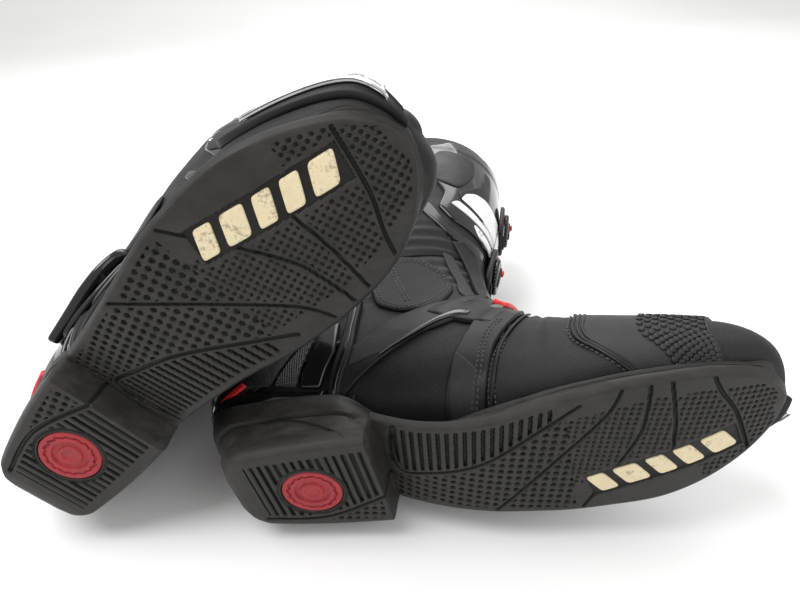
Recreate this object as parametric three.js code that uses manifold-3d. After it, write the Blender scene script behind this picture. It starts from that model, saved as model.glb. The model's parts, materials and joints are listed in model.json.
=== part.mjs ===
// A pair of motorcycle riding boots, lying on their sides as they are put down: the left boot flat on
// its outer side, the right boot leaning over it. Millimetres, +Z up, the floor at z = 0. The shafts
// point along +Y and the soles face -Y. Each boot is built upright in its own frame (X to the toe,
// Y to the outer side of the left boot, Z up the shaft, z = 0 under the heel), then turned as a group.
import * as THREE from 'three';
import { mergeVertices } from 'three/addons/utils/BufferGeometryUtils.js';
import Module from 'manifold-3d';

const wasm = await Module();
wasm.setup();

// ---- driving dimensions ----
const soleLength = 300;       // rear of the heel to the toe tip
const ballWidth = 88;         // across the sole at the ball of the foot
const bootHeight = 325;       // under the heel to the collar
const calfWidth = 122;        // across the top of the shaft
const upperWall = 4;          // foot upper, skin and lining
const shaftWall = 6;          // padded shaft
const ringSegments = 20;      // round the boot
const fitGap = 0.4;           // between pieces that touch
const strapGap = 1.3;         // under the instep strap
const skinGap = 0.8;          // between the skin and a plate that lies on it
const panelThick = 2.5;       // moulded plates on the upper
const heelBreastX = 96;       // where the heel block ends
const archRise = 17;          // height of the sole's underside just ahead of the heel
const toeSpring = 11;         // rise of the sole's underside at the toe tip
const heelDiscPlace = [58, 1.5];    // middle of the disc: x, y
const heelDiscRadius = 18;
const heelDiscThick = 2.6;
const inlayFrom = [205, 27];  // ends of the inlay's middle line: x, y
const inlayTo = [279, 7];
const inlayDepth = 1.6;
const inlayWidth = 17;
const inlayRise = 0.3;        // the inlay's face above the tread
const boardThick = 2.4;
const footbedThick = 4;
const boardGap = 2;         // under the insole board
const boardShare = 0.6;       // of the foot's half width
const gaiterThick = 3;
const pivotX = 84;            // ankle hinge
const pivotZ = 106;
const pivotScrewRadius = 7;
const dialRadius = 14;        // buckle dial
const dialHeight = 3.6;
const buckleLength = 44;
const buckleWidth = 31;
const buckleHeight = 3.4;
const buckleGap = 0.7;        // under the buckle, over the shin plate
const leverLength = 22;       // flip-up lever on the dial
const leverWidth = 7;
const leverThick = 1.6;
const buttonLength = 7;       // red release button on the end of the buckle
const buttonWidth = 9;
const buttonHeight = 2.6;
const buttonTravel = 1.5;
const braceLowerRoute = [[90, 113], [76, 92], [56, 72], [36, 56]];    // side view: x, z
const braceUpperRoute = [[78, 99], [90, 118], [98, 150], [99, 212]];
const braceToeIn = 2;         // how far the lower arm comes in towards the heel
const upperBuckleZ = 254;
const lowerBuckleZ = 187;
const buckleTurn = 10;        // degrees that the buckles sit round the shin, to the outer side

// ---- where each plate lies: first and last station, first and last angle in degrees ----
const toePadArea = [2.1, 5.1, -74, 30];
const sliderBaseArea = [1.0, 4.1, 52, 104];
const sliderArea = [1.3, 3.5, 62, 96];
const heelCupArea = [8.6, 11.0, 100, 260];
const heelInsertArea = [9.8, 10.5, 158, 202];
const shinPlateArea = [13.0, 16.4, -52, 52];
const calfPlateArea = [13.4, 16.4, 118, 242];
const instepPlateArea = [6.75, 7.4, -22, 22];
const instepStrapArea = [-0.55, 0.45, -108, 102];   // its stations are either side of the strap's line
const instepStrapCrest = 7.15;                      // station of the strap's line over the instep
const instepStrapSweep = 0.75;                      // stations that the line falls to the sole
const anklePadArea = [8.45, 9.5];
const anklePadAngle = -73;
const anklePadHalf = 24;
const anklePadThick = 4;

// ---- placing of the pair ----
const pairSpacing = 113;      // left boot's heel ahead of the right boot's heel, along X
const pairStagger = 2.3;      // the same along Y
const shaftSpread = 73;       // how much further apart, along X, boots with twice as wide shafts lie
const leftTurn = [11.1, 3.2, -1.15];    // toe up, pitch and yaw in degrees
const rightTurn = [42, -3.1, 1];

// ---- scales from the driving dimensions ----
const kx = soleLength / 300;
const ky = ballWidth / 88;
const kz = bootHeight / 325;
const kc = calfWidth / 122;
const ankleStation = 11;      // stations past this one belong to the shaft's width

// Stations along the boot, from the toe tip over the instep and round the heel up to the collar. Each
// is a ring in a plane across the boot: its front point (x, z), its back point (x, z), half its width,
// the middle of its width, the fullness of its front and back halves, and where between back and
// front it is widest.
const stations = [
  [306, 38, 307, 22, 8, -5, 2.0, 2.0, 0.5],
  [301, 46, 303, 15, 22, -5, 2.1, 2.4, 0.42],
  [288, 55, 290, 12, 32, -4, 2.2, 3.0, 0.38],
  [265, 64, 264, 11, 40, -1, 2.2, 3.4, 0.36],
  [238, 74, 236, 11, 44.5, 1.5, 2.2, 3.6, 0.36],
  [212, 87, 206, 12, 44.5, 2.5, 2.1, 3.4, 0.36],
  [192, 102, 172, 15, 42, 3.5, 2.0, 3.0, 0.36],
  [179, 116, 122, 25, 39, 4, 2.0, 2.8, 0.40],
  [172, 127, 62, 40, 38, 2.5, 2.1, 2.8, 0.44],
  [168, 137, 8, 44, 38, 1, 2.1, 2.6, 0.46],
  [166, 147, -13, 66, 38.5, 0, 2.1, 2.3, 0.48],
  [165, 158, -12, 96, 41, 0, 2.1, 2.2, 0.50],
  [166, 172, 1, 132, 45, 0, 2.1, 2.2, 0.50],
  [171, 193, 13, 170, 50, 0, 2.1, 2.2, 0.50],
  [179, 223, 23, 208, 55, 0, 2.1, 2.2, 0.50],
  [186, 262, 32, 252, 59, 0, 2.1, 2.2, 0.50],
  [190, 298, 38, 293, 60.5, 0, 2.1, 2.2, 0.50],
  [192, 325, 41, 325, 61, 0, 2.1, 2.2, 0.50],
].map(([fx, fz, bx, bz, w, mid, rf, rb, m], i) => [
  fx * kx, fz * kz, bx * kx, bz * kz, w * (i > ankleStation ? kc : ky), mid * ky, rf, rb, m]);
const collarStation = stations.length - 1;
const footTop = 9.6;          // station of the foot upper's rim
const shaftFoot = 11.8;       // station where the shaft begins
const gaiterGap = 0.1;        // stations between the ankle gaiter and its neighbours

// The sole's plan: x, outer edge y, inner edge y.
const solePlan = [
  [-9, 9, -9], [-3, 20, -20], [8, 28, -27], [25, 33, -31], [60, 36, -33], [96, 37, -32],
  [125, 37.5, -29], [160, 41.5, -31.5], [190, 46, -38.5], [212, 46.5, -41.5], [238, 45, -42.5],
  [262, 37.5, -40], [282, 26, -32], [294, 15, -22], [301, 6, -12],
].map(([x, outer, inner]) => [x * kx, outer * ky, inner * ky]);

// Value of a Catmull-Rom curve through equally spaced rows, at the real-numbered station s.
function spline(rows, s) {
  const last = rows.length - 1;
  const i = Math.min(Math.max(Math.floor(s), 0), last - 1);
  const t = s - i;
  const [a, b, c, d] = [rows[Math.max(i - 1, 0)], rows[i], rows[i + 1], rows[Math.min(i + 2, last)]];
  return b.map((_, k) => 0.5 * (2 * b[k] + (c[k] - a[k]) * t
    + (2 * a[k] - 5 * b[k] + 4 * c[k] - d[k]) * t * t + (3 * b[k] - a[k] - 3 * c[k] + d[k]) * t ** 3));
}

// Linear reading of column k of a table sorted by its first column.
function lookup(table, x, k) {
  let i = table.findIndex((row) => row[0] >= x);
  if (i < 0) i = table.length - 1;
  if (i === 0) i = 1;
  const [a, b] = [table[i - 1], table[i]];
  const t = Math.min(Math.max((x - a[0]) / (b[0] - a[0]), 0), 1);
  return a[k] + (b[k] - a[k]) * t;
}

// A point on the boot's skin at station s and angle v round the ring: 0 at the front or top, a quarter
// turn at the outer side, half a turn at the back or underside.
function skin(s, v) {
  const [fx, fz, bx, bz, w, mid, fullFront, fullBack, m] = spline(stations, s);
  const [c, q] = [Math.cos(v), Math.sin(v)];
  const n = c > 0 ? fullFront : fullBack;
  const r = (Math.abs(c) ** n + Math.abs(q) ** n) ** (-1 / n);
  const along = c > 0 ? m + (1 - m) * c * r : m + m * c * r;
  return new THREE.Vector3(bx + (fx - bx) * along, mid + w * q * r, bz + (fz - bz) * along);
}

// The skin moved out along its normal by lift.
function body(s, v, lift = 0) {
  const step = 0.02;
  const ds = skin(s + step, v).sub(skin(s - step, v));
  const dv = skin(s, v + step).sub(skin(s, v - step));
  return skin(s, v).addScaledVector(dv.cross(ds).normalize(), lift);
}

// Height of the upper's underside above x, found along the back curve from the toe to the heel.
function undersideZ(x) {
  let best = spline(stations, 0);
  for (let s = 0; s <= 9; s += 0.05) {
    const row = spline(stations, s);
    if (Math.abs(row[2] - x) < Math.abs(best[2] - x)) best = row;
  }
  return best[3];
}

// Height of the sole's underside above x, ahead of the heel: the arch runs out at the ball and the
// toe springs up again.
function treadZ(x) {
  const arch = archRise * Math.max(0, 1 - (x / kx - heelBreastX) / 70) ** 2;
  const spring = toeSpring * Math.max(0, (x / kx - 235) / 66) ** 2;
  return arch + spring;
}

// ---- closed solids from grids of points ----

// A geometry from a point list and triangles, turned inside out if its volume came out negative.
function solid(points, triangles) {
  let volume = 0;
  for (const [a, b, c] of triangles) {
    volume += points[a].dot(new THREE.Vector3().crossVectors(points[b], points[c]));
  }
  const order = volume < 0 ? triangles.map(([a, b, c]) => [a, c, b]) : triangles;
  const geometry = new THREE.BufferGeometry();
  geometry.setAttribute('position', new THREE.Float32BufferAttribute(points.flatMap((p) => p.toArray()), 3));
  geometry.setIndex(order.flat());
  return geometry;
}

// Rings of equal length joined in order; both ends are capped with a fan.
function loft(rings) {
  const n = rings[0].length;
  const points = rings.flat();
  const triangles = [];
  for (let i = 0; i < rings.length - 1; i += 1) {
    for (let j = 0; j < n; j += 1) {
      const [a, b] = [i * n + j, i * n + ((j + 1) % n)];
      triangles.push([a, b, b + n], [a, b + n, a + n]);
    }
  }
  for (const [start, flip] of [[0, true], [(rings.length - 1) * n, false]]) {
    const centre = new THREE.Vector3();
    for (let j = 0; j < n; j += 1) centre.add(points[start + j]);
    points.push(centre.divideScalar(n));
    for (let j = 0; j < n; j += 1) {
      const [a, b] = [start + j, start + ((j + 1) % n)];
      triangles.push(flip ? [points.length - 1, b, a] : [points.length - 1, a, b]);
    }
  }
  return solid(points, triangles);
}

// A ring of the skin at station s.
function ringAt(s, lift, segments) {
  return Array.from({ length: segments }, (_, j) => body(s, (2 * Math.PI * j) / segments, lift));
}

// Stations from a to b in steps of about one.
function steps(a, b, count) {
  return Array.from({ length: count + 1 }, (_, i) => a + ((b - a) * i) / count);
}

// A cup between two lifts, closed at its first station and open at its last.
function cup(from, to, count, inner, outer, segments, innerFrom) {
  const outside = steps(from, to, count).map((s) => ringAt(s, outer, segments));
  const inside = steps(innerFrom, to, count).map((s) => ringAt(s, inner, segments)).reverse();
  return loft([...outside, ...inside]);
}

// A sleeve between two lifts, open at both ends.
function sleeve(from, to, count, inner, outer, segments) {
  const outside = steps(from, to, count).map((s) => ringAt(s, outer, segments));
  const inside = steps(from, to, count).map((s) => ringAt(s, inner, segments)).reverse();
  const rings = [...outside, ...inside];
  const n = segments;
  const triangles = [];
  for (let i = 0; i < rings.length; i += 1) {
    const next = (i + 1) % rings.length;
    for (let j = 0; j < n; j += 1) {
      const k = (j + 1) % n;
      triangles.push([i * n + j, i * n + k, next * n + k], [i * n + j, next * n + k, next * n + j]);
    }
  }
  return solid(rings.flat(), triangles);
}

// A plate lying on the skin: place(a, b), with a and b from 0 to 1, gives its station and angle.
function plate(place, lift, thick, na, nb) {
  const points = [];
  for (const height of [lift, lift + thick]) {
    for (let i = 0; i <= na; i += 1) {
      for (let j = 0; j <= nb; j += 1) {
        const [s, v] = place(i / na, j / nb);
        points.push(body(s, v, height));
      }
    }
  }
  const row = nb + 1;
  const top = (na + 1) * row;
  const triangles = [];
  for (let i = 0; i < na; i += 1) {
    for (let j = 0; j < nb; j += 1) {
      const a = i * row + j;
      triangles.push([a, a + row, a + 1], [a + 1, a + row, a + row + 1]);
      triangles.push([top + a, top + a + 1, top + a + row], [top + a + 1, top + a + row + 1, top + a + row]);
    }
  }
  const wall = (a, b) => triangles.push([a, b, top + b], [a, top + b, top + a]);
  for (let j = 0; j < nb; j += 1) {
    wall(j, j + 1);
    wall(na * row + j + 1, na * row + j);
  }
  for (let i = 0; i < na; i += 1) {
    wall((i + 1) * row, i * row);
    wall(i * row + nb, (i + 1) * row + nb);
  }
  return solid(points, triangles);
}

const degrees = Math.PI / 180;
const mix = (a, b, t) => a + (b - a) * t;

// ---- booleans ----
function toManifold(geometry) {
  const bare = geometry.clone();
  bare.deleteAttribute('normal');
  bare.deleteAttribute('uv');
  const merged = mergeVertices(bare, 1e-4);
  return new wasm.Manifold(new wasm.Mesh({
    numProp: 3,
    vertProperties: new Float32Array(merged.attributes.position.array),
    triVerts: new Uint32Array(merged.index.array),
  }));
}

function cut(geometry, tool) {
  const mesh = toManifold(geometry).subtract(toManifold(tool)).getMesh();
  const result = new THREE.BufferGeometry();
  result.setAttribute('position', new THREE.BufferAttribute(mesh.vertProperties, 3));
  result.setIndex(new THREE.BufferAttribute(mesh.triVerts, 1));
  return result;
}

// An upright disc with its lower face at z, a chamfer of edge on both rims.
function disc(x, y, z, radius, height, edge, segments = 20) {
  const profile = [[0, 0], [radius - edge, 0], [radius, edge], [radius, height - edge],
    [radius - edge, height], [0, height]].map(([r, h]) => new THREE.Vector2(r, h));
  return new THREE.LatheGeometry(profile, segments).rotateX(Math.PI / 2).translate(x, y, z);
}

// ---- sole ----
const heelDiscX = heelDiscPlace[0] * kx;
const heelDiscY = heelDiscPlace[1] * ky;
const heelTaper = 0.12;       // how much narrower the heel block is at the ground
const taperFrom = 12;         // sole thickness at which the taper begins
const taperOver = 25;         // and the thickness over which it grows to its full share
const soleEdge = 2;
const heelRear = [[-9, 26], [-3, 14], [6, 6], [14, 0]];   // bevel behind the heel block: x, z
const heelSteps = [35, 58, 80];
const foreSteps = [110, 125, 142, 160, 180, 200, 220, 240, 255, 268, 280, 289, 296, 301];

function soleSection(x, bottom, top) {
  const outer = lookup(solePlan, x, 1);
  const inner = lookup(solePlan, x, 2);
  const lean = 1 - heelTaper * Math.min(1, Math.max(0, (top - bottom - taperFrom) / taperOver));
  const edge = soleEdge;
  return [[inner * lean + edge, bottom], [outer * lean - edge, bottom], [outer * lean, bottom + edge],
    [outer, top - edge], [outer - edge, top], [inner + edge, top], [inner, top - edge],
    [inner * lean, bottom + edge]].map(([y, z]) => new THREE.Vector3(x, y, z));
}

function soleTop(x) {
  return Math.min(undersideZ(Math.max(x, 8 * kx)), 42 * kz) - 1 - fitGap;
}

function outsole() {
  const flat = [...heelSteps, heelBreastX].map((x) => [x, 0]);
  const heel = [...heelRear, ...flat].map(([x, z]) => [x * kx, z]);
  const fore = [heelBreastX + 0.6, ...foreSteps].map((x) => [x * kx, treadZ(x * kx)]);
  const rings = [...heel, ...fore].map(([x, z]) => soleSection(x, z, soleTop(x)));
  const pocket = disc(heelDiscX, heelDiscY, -1, heelDiscRadius + fitGap, 1 + heelDiscThick + 2 * fitGap, 0.1);
  return cut(cut(loft(rings), pocket), inlaySolid(fitGap, 1));
}

// The inlay runs slantwise across the ball of the foot, following the underside.
function inlaySolid(grow, below) {
  const along = new THREE.Vector2(inlayTo[0] - inlayFrom[0], inlayTo[1] - inlayFrom[1]).normalize();
  const half = inlayWidth / 2 + grow;
  const rings = steps(0, 1, 6).map((t) => {
    const push = t === 0 ? -grow : t === 1 ? grow : 0;
    const x = mix(inlayFrom[0], inlayTo[0], t) * kx + along.x * push;
    const y = mix(inlayFrom[1], inlayTo[1], t) * ky + along.y * push;
    const z = treadZ(x);
    return [[-half, -below], [half, -below], [half, inlayDepth + grow], [-half, inlayDepth + grow]]
      .map(([across, up]) => new THREE.Vector3(x - along.y * across, y + along.x * across, z + inlayRise + up));
  });
  return loft(rings);
}

// ---- soft and moulded pieces on the upper ----
function footUpper() {
  return cup(0, footTop, 12, -upperWall, 0, ringSegments, 0.75);
}

// A flat piece inside the foot, above the upper's bottom wall, with its underside at a height above
// that wall.
function insideSole(above, thick, share) {
  const rings = steps(1.6, 8.6, 8).map((s) => {
    const [, , , , w, mid] = spline(stations, s);
    const half = w * share;
    let v = Math.PI;
    while (body(s, v, -upperWall).y < mid + half) v -= degrees;
    const edge = body(s, v, -upperWall);
    const z = edge.z + above;
    return [[-half, z], [half, z], [half, z + thick], [-half, z + thick]]
      .map(([y, height]) => new THREE.Vector3(edge.x, mid + y, height));
  });
  return loft(rings);
}

// A plate over an area of the skin, its lower face at a lift, cut into rows and columns.
const plateOver = ([from, to, first, last], lift, thick, rows, columns) =>
  plate((a, b) => [mix(from, to, a), mix(first, last, b) * degrees], lift, thick, rows, columns);

const toePad = () => plateOver(toePadArea, skinGap, panelThick, 4, 8);
const sliderBase = () => plateOver(sliderBaseArea, skinGap, panelThick, 5, 3);
const sliderPlate = () => plateOver(sliderArea, skinGap + fitGap + panelThick, panelThick, 5, 3);
const heelInsert = () => plateOver(heelInsertArea, 2 * skinGap + panelThick, panelThick, 2, 4);
const shinPlate = () => plateOver(shinPlateArea, skinGap, panelThick, 5, 8);
const calfPlate = () => plateOver(calfPlateArea, skinGap, panelThick, 5, 9);
const instepPlate = () => plateOver(instepPlateArea, strapGap + skinGap + panelThick,
  panelThick + 1, 2, 3);

// The heel cup's lower edge rises towards the back, clear of the sole.
const heelCup = () => plate((a, b) => {
  const [from, to, first, last] = heelCupArea;
  const v = mix(first, last, b) * degrees;
  return [mix(from + Math.cos(v) ** 2, to, a), v];
}, skinGap, panelThick, 5, 11);

// The ankle pad is oval: its reach round the boot shrinks towards its lower and upper ends.
const anklePad = () => plate((a, b) => {
  const reach = Math.sqrt(Math.max(0.06, 1 - (2 * a - 1) ** 2));
  return [mix(...anklePadArea, a), (anklePadAngle + anklePadHalf * (2 * b - 1) * reach) * degrees];
}, skinGap, anklePadThick, 5, 4);

// The instep strap comes up from the inner side of the sole, over the instep, and down the outer side.
const strapStation = (b) => instepStrapCrest - instepStrapSweep * Math.abs(2 * b - 1) ** 1.5;
const instepStrap = () => plate((a, b) => {
  const [behind, ahead, first, last] = instepStrapArea;
  return [strapStation(b) + mix(behind, ahead, a), mix(first, last, b) * degrees];
}, strapGap, panelThick, 2, 16);

// ---- ankle brace: an arm on the foot and an arm on the shaft, meeting at the hinge screw ----
const armThick = 2;
const armWidth = 15;
const screwGap = 0.3;
const flatShare = 0.25;       // of an arm's length, from the hinge, before it leans out
const screwShank = 4;
const screwHead = 1.6;
const braceY = spline(stations, 10.4)[4] + skinGap + panelThick + 1;
const braceTopY = spline(stations, 13.8)[4] + 1;

// An arm in side view along points (x, z); its inner face goes from startY to endY out from the
// boot's middle plane. The hinge end has the screw's hole.
function arm(route, startY, endY) {
  const curve = new THREE.CatmullRomCurve3(route.map(([x, z]) => new THREE.Vector3(x * kx, 0, z * kz)));
  const rings = steps(0, 1, 8).map((t) => {
    const p = curve.getPoint(t);
    const side = curve.getTangent(t).cross(new THREE.Vector3(0, 1, 0)).multiplyScalar(armWidth / 2);
    const y = mix(startY, endY, Math.max(0, (t - flatShare) / (1 - flatShare)));
    return [[-1, y], [1, y], [1, y + armThick], [-1, y + armThick]]
      .map(([sign, out]) => new THREE.Vector3(p.x + sign * side.x, out, p.z + sign * side.z));
  });
  const hole = disc(0, 0, -10, screwShank + screwGap, 30, 0.1).rotateX(-Math.PI / 2)
    .translate(pivotX * kx, startY, pivotZ * kz);
  return cut(loft(rings), hole);
}

const braceLower = () => arm(braceLowerRoute, braceY, braceY - braceToeIn);
const upperArmY = braceY + armThick + screwGap;
const braceArm = () => arm(braceUpperRoute, upperArmY, braceTopY);

function pivotScrew() {
  const shank = 2 * armThick + 2 * screwGap;
  const profile = [[0, 0], [screwShank, 0], [screwShank, shank], [pivotScrewRadius, shank],
    [pivotScrewRadius - 1, shank + screwHead], [0, shank + screwHead]]
    .map(([r, h]) => new THREE.Vector2(r, h));
  return new THREE.LatheGeometry(profile, 16).translate(pivotX * kx, braceY, pivotZ * kz);
}

// ---- buckles ----

// The frame of a buckle on the shin at height z: its middle on the shin plate, its own Z out of the
// shin, its own Y up the shaft.
function buckleFrame(z) {
  let s = shaftFoot;
  while (skin(s, 0).z < z * kz && s < collarStation) s += 0.01;
  const v = buckleTurn * degrees;
  const place = body(s, v, skinGap + panelThick + buckleGap);
  const out = body(s, v, 1).sub(body(s, v, 0)).normalize();
  const up = skin(s + 0.05, v).sub(skin(s - 0.05, v)).normalize();
  const side = new THREE.Vector3().crossVectors(up, out).normalize();
  return new THREE.Matrix4().makeBasis(side, new THREE.Vector3().crossVectors(out, side), out)
    .setPosition(place);
}

// A plate with round corners, its lower face at z.
function roundedPlate(width, length, radius, height, z) {
  const [w, l] = [width / 2, length / 2];
  const shape = new THREE.Shape();
  shape.moveTo(-w + radius, -l);
  shape.lineTo(w - radius, -l);
  shape.absarc(w - radius, -l + radius, radius, -Math.PI / 2, 0);
  shape.lineTo(w, l - radius);
  shape.absarc(w - radius, l - radius, radius, 0, Math.PI / 2);
  shape.lineTo(-w + radius, l);
  shape.absarc(-w + radius, l - radius, radius, Math.PI / 2, Math.PI);
  shape.lineTo(-w, -l + radius);
  shape.absarc(-w + radius, -l + radius, radius, Math.PI, 1.5 * Math.PI);
  return new THREE.ExtrudeGeometry(shape, { depth: height, bevelEnabled: false, curveSegments: 2 })
    .translate(0, 0, z);
}

const dialFloor = buckleHeight + fitGap;
const leverSlot = 0.6;        // clearance round the lever in the dial
const leverFloor = dialFloor + dialHeight - leverThick;
const buttonFloor = buckleHeight - buttonHeight + 0.6;
const buttonY = (buckleLength - buttonLength) / 2 + 1;

function buckleBase() {
  const block = roundedPlate(buckleWidth, buckleLength, 9, buckleHeight, 0);
  const grip = roundedPlate(buttonWidth + 2 * leverSlot, buttonLength + 8 + 2 * buttonTravel, 0.5,
    buttonHeight + 2, buttonFloor - leverSlot).translate(0, buttonY + 4 - buttonTravel / 2, 0);
  return cut(block, grip);
}

function buckleDial() {
  const body = disc(0, 0, dialFloor, dialRadius, dialHeight, 1);
  const slot = roundedPlate(leverWidth + 2 * leverSlot, leverLength + 2 * leverSlot + 4, 1,
    leverThick + 3, leverFloor - leverSlot);
  return cut(body, slot);
}

const buckleLever = () => roundedPlate(leverWidth, leverLength, 2, leverThick, leverFloor);
const buckleButton = () => roundedPlate(buttonWidth, buttonLength, 1.5, buttonHeight, buttonFloor)
  .translate(0, buttonY, 0);

// ---- finishes ----
const finish = (color, roughness, metalness = 0) => ({ color, roughness, metalness });
const finishes = {
  rubber: finish(0x3b3937, 0.75),
  leather: finish(0x1d1d1e, 0.6),
  plastic: finish(0x151515, 0.35),
  gloss: finish(0x0a0a0a, 0.12),
  red: finish(0xe02028, 0.35),
  disc: finish(0xb02c38, 0.5),
  beige: finish(0xd6c69b, 0.6),
  chrome: finish(0xd0d0d0, 0.15, 1),
  lining: finish(0x2a2a2c, 0.95),
  foam: finish(0x55555a, 0.95),
  white: finish(0xe8e8e8, 0.4),
};

// Every piece of one boot: name, finish and geometry, in the upright frame of the left boot.
function bootPieces() {
  const pieces = [
    ['outsole', 'rubber', outsole()],
    ['heel_disc', 'disc', disc(heelDiscX, heelDiscY, fitGap, heelDiscRadius, heelDiscThick, 0.5)],
    ['sole_inlay', 'beige', inlaySolid(0, 0)],
    ['insole_board', 'foam', insideSole(boardGap, boardThick, boardShare)],
    ['footbed', 'lining', insideSole(boardGap + boardThick + fitGap, footbedThick, boardShare)],
    ['foot_upper', 'leather', footUpper()],
    ['toe_pad', 'leather', toePad()],
    ['toe_slider_base', 'plastic', sliderBase()],
    ['toe_slider', 'chrome', sliderPlate()],
    ['heel_cup', 'gloss', heelCup()],
    ['heel_insert', 'chrome', heelInsert()],
    ['ankle_pad', 'leather', anklePad()],
    ['instep_strap', 'plastic', instepStrap()],
    ['instep_plate', 'red', instepPlate()],
    ['brace_lower', 'gloss', braceLower()],
    ['brace_arm', 'gloss', braceArm()],
    ['pivot_screw', 'chrome', pivotScrew()],
    ['ankle_gaiter', 'lining', sleeve(footTop + gaiterGap, shaftFoot - gaiterGap, 3,
      -gaiterThick - 1, -1, ringSegments)],
    ['shaft', 'leather', sleeve(shaftFoot, collarStation - 0.5, 5, -shaftWall, 0, ringSegments)],
    ['collar', 'lining', sleeve(collarStation - 0.46, collarStation, 1, -shaftWall - 1, 1, ringSegments)],
    ['shin_plate', 'plastic', shinPlate()],
    ['calf_plate', 'plastic', calfPlate()],
  ];
  for (const [place, z] of [['upper', upperBuckleZ], ['lower', lowerBuckleZ]]) {
    const frame = buckleFrame(z);
    pieces.push(
      [`${place}_buckle_base`, 'plastic', buckleBase().applyMatrix4(frame)],
      [`${place}_dial`, 'plastic', buckleDial().applyMatrix4(frame)],
      [`${place}_lever`, 'plastic', buckleLever().applyMatrix4(frame)],
      [`${place}_button`, 'red', buckleButton().applyMatrix4(frame)],
    );
  }
  return pieces;
}

// A geometry mirrored across the boot's middle plane, with its faces still pointing out.
function mirrored(geometry) {
  const flipped = geometry.index ? geometry.clone() : mergeVertices(geometry.clone());
  const index = flipped.index.array;
  const order = new Uint32Array(index.length);
  for (let i = 0; i < index.length; i += 3) order.set([index[i], index[i + 2], index[i + 1]], i);
  flipped.setIndex(new THREE.BufferAttribute(order, 1));
  return flipped.scale(1, -1, 1);
}

// A boot turned down on its side: toeUp, pitch and yaw in degrees, its lowest point on the floor.
function lyingBoot(side, pieces, toeUp, pitch, yaw) {
  const upright = new THREE.Group();
  upright.rotation.x = -Math.PI / 2;
  for (const [name, look, geometry] of pieces) {
    const material = new THREE.MeshStandardMaterial(finishes[look]);
    const mesh = new THREE.Mesh(side === 'left' ? geometry : mirrored(geometry), material);
    mesh.name = `${side}_${name}`;
    upright.add(mesh);
  }
  const boot = new THREE.Group();
  boot.rotation.set(pitch * degrees, -toeUp * degrees, yaw * degrees, 'ZXY');
  boot.add(upright);
  boot.updateMatrixWorld(true);
  boot.position.z = -new THREE.Box3().setFromObject(boot, true).min.z;
  return boot;
}

const pieces = bootPieces();
const leftBoot = lyingBoot('left', pieces, ...leftTurn);
const rightBoot = lyingBoot('right', pieces, ...rightTurn);
rightBoot.position.x = -pairSpacing * kx - shaftSpread * (kc - 1);
rightBoot.position.y = pairStagger;

const pair = new THREE.Group();
pair.add(leftBoot, rightBoot);
pair.updateMatrixWorld(true);
const box = new THREE.Box3().setFromObject(pair, true);
pair.position.set(-(box.min.x + box.max.x) / 2, -(box.min.y + box.max.y) / 2, -box.min.z);

export default pair;
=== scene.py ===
"""A pair of riding boots lying on their sides: the maker's patterns, panels and finishes.

Every boot surface is worked out in the boot's own frame, in millimetres: x runs to the toe, y to the
outer side and z up the shaft. A point on the boot's skin is named by its station s, counted from the
toe tip (0) round the heel to the collar (17), and by its angle v round the boot: 0 is the top or front,
90 the outer side, 180 the sole or back and -90 the inner side.
"""
import json
import math

import bpy
import numpy as np
from mathutils import Matrix, Vector


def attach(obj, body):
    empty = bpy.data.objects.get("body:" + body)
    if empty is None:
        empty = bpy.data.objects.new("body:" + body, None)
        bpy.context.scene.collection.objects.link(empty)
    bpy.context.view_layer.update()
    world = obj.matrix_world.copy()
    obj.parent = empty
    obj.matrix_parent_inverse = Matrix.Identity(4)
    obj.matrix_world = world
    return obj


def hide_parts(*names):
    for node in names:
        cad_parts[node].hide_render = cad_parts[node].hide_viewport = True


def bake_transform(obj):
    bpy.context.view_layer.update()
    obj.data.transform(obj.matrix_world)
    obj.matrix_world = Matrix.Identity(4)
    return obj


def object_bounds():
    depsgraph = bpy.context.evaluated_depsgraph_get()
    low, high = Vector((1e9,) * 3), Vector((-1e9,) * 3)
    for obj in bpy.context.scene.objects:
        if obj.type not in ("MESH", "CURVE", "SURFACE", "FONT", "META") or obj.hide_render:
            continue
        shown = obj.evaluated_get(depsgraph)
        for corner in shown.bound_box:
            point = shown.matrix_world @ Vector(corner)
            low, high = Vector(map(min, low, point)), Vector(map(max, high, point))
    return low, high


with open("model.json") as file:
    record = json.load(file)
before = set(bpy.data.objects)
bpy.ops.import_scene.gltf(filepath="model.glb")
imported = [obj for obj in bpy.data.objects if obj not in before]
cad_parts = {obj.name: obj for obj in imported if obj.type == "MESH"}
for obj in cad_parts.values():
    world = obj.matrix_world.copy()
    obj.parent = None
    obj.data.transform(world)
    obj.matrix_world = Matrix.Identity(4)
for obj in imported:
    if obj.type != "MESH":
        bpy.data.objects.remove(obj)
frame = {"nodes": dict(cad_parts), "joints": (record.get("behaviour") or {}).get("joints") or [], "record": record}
CAD_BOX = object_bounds()
MM = 0.001
LAST_STATION = 17
GAITER = (9.45, 12.0)
SHAFT_LOW, SHAFT_HIGH = 11.8, 16.55
COLLAR_LOW, COLLAR_LONG = 16.44, 0.56
# metres from the boot's origin to the middle of its heel face, and the ends of the ankle's bend in mm
HEEL_FACE_X = 0.030
BEND_LOW, BEND_HIGH = (90.0, 0, 92.0), (98.0, 0, 140.0)
# height of the buckles' seats above the skin
BUCKLE_LIFT = 4.0
DIAL_RADIUS, DIAL_TEETH = 14.0, 30

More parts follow.
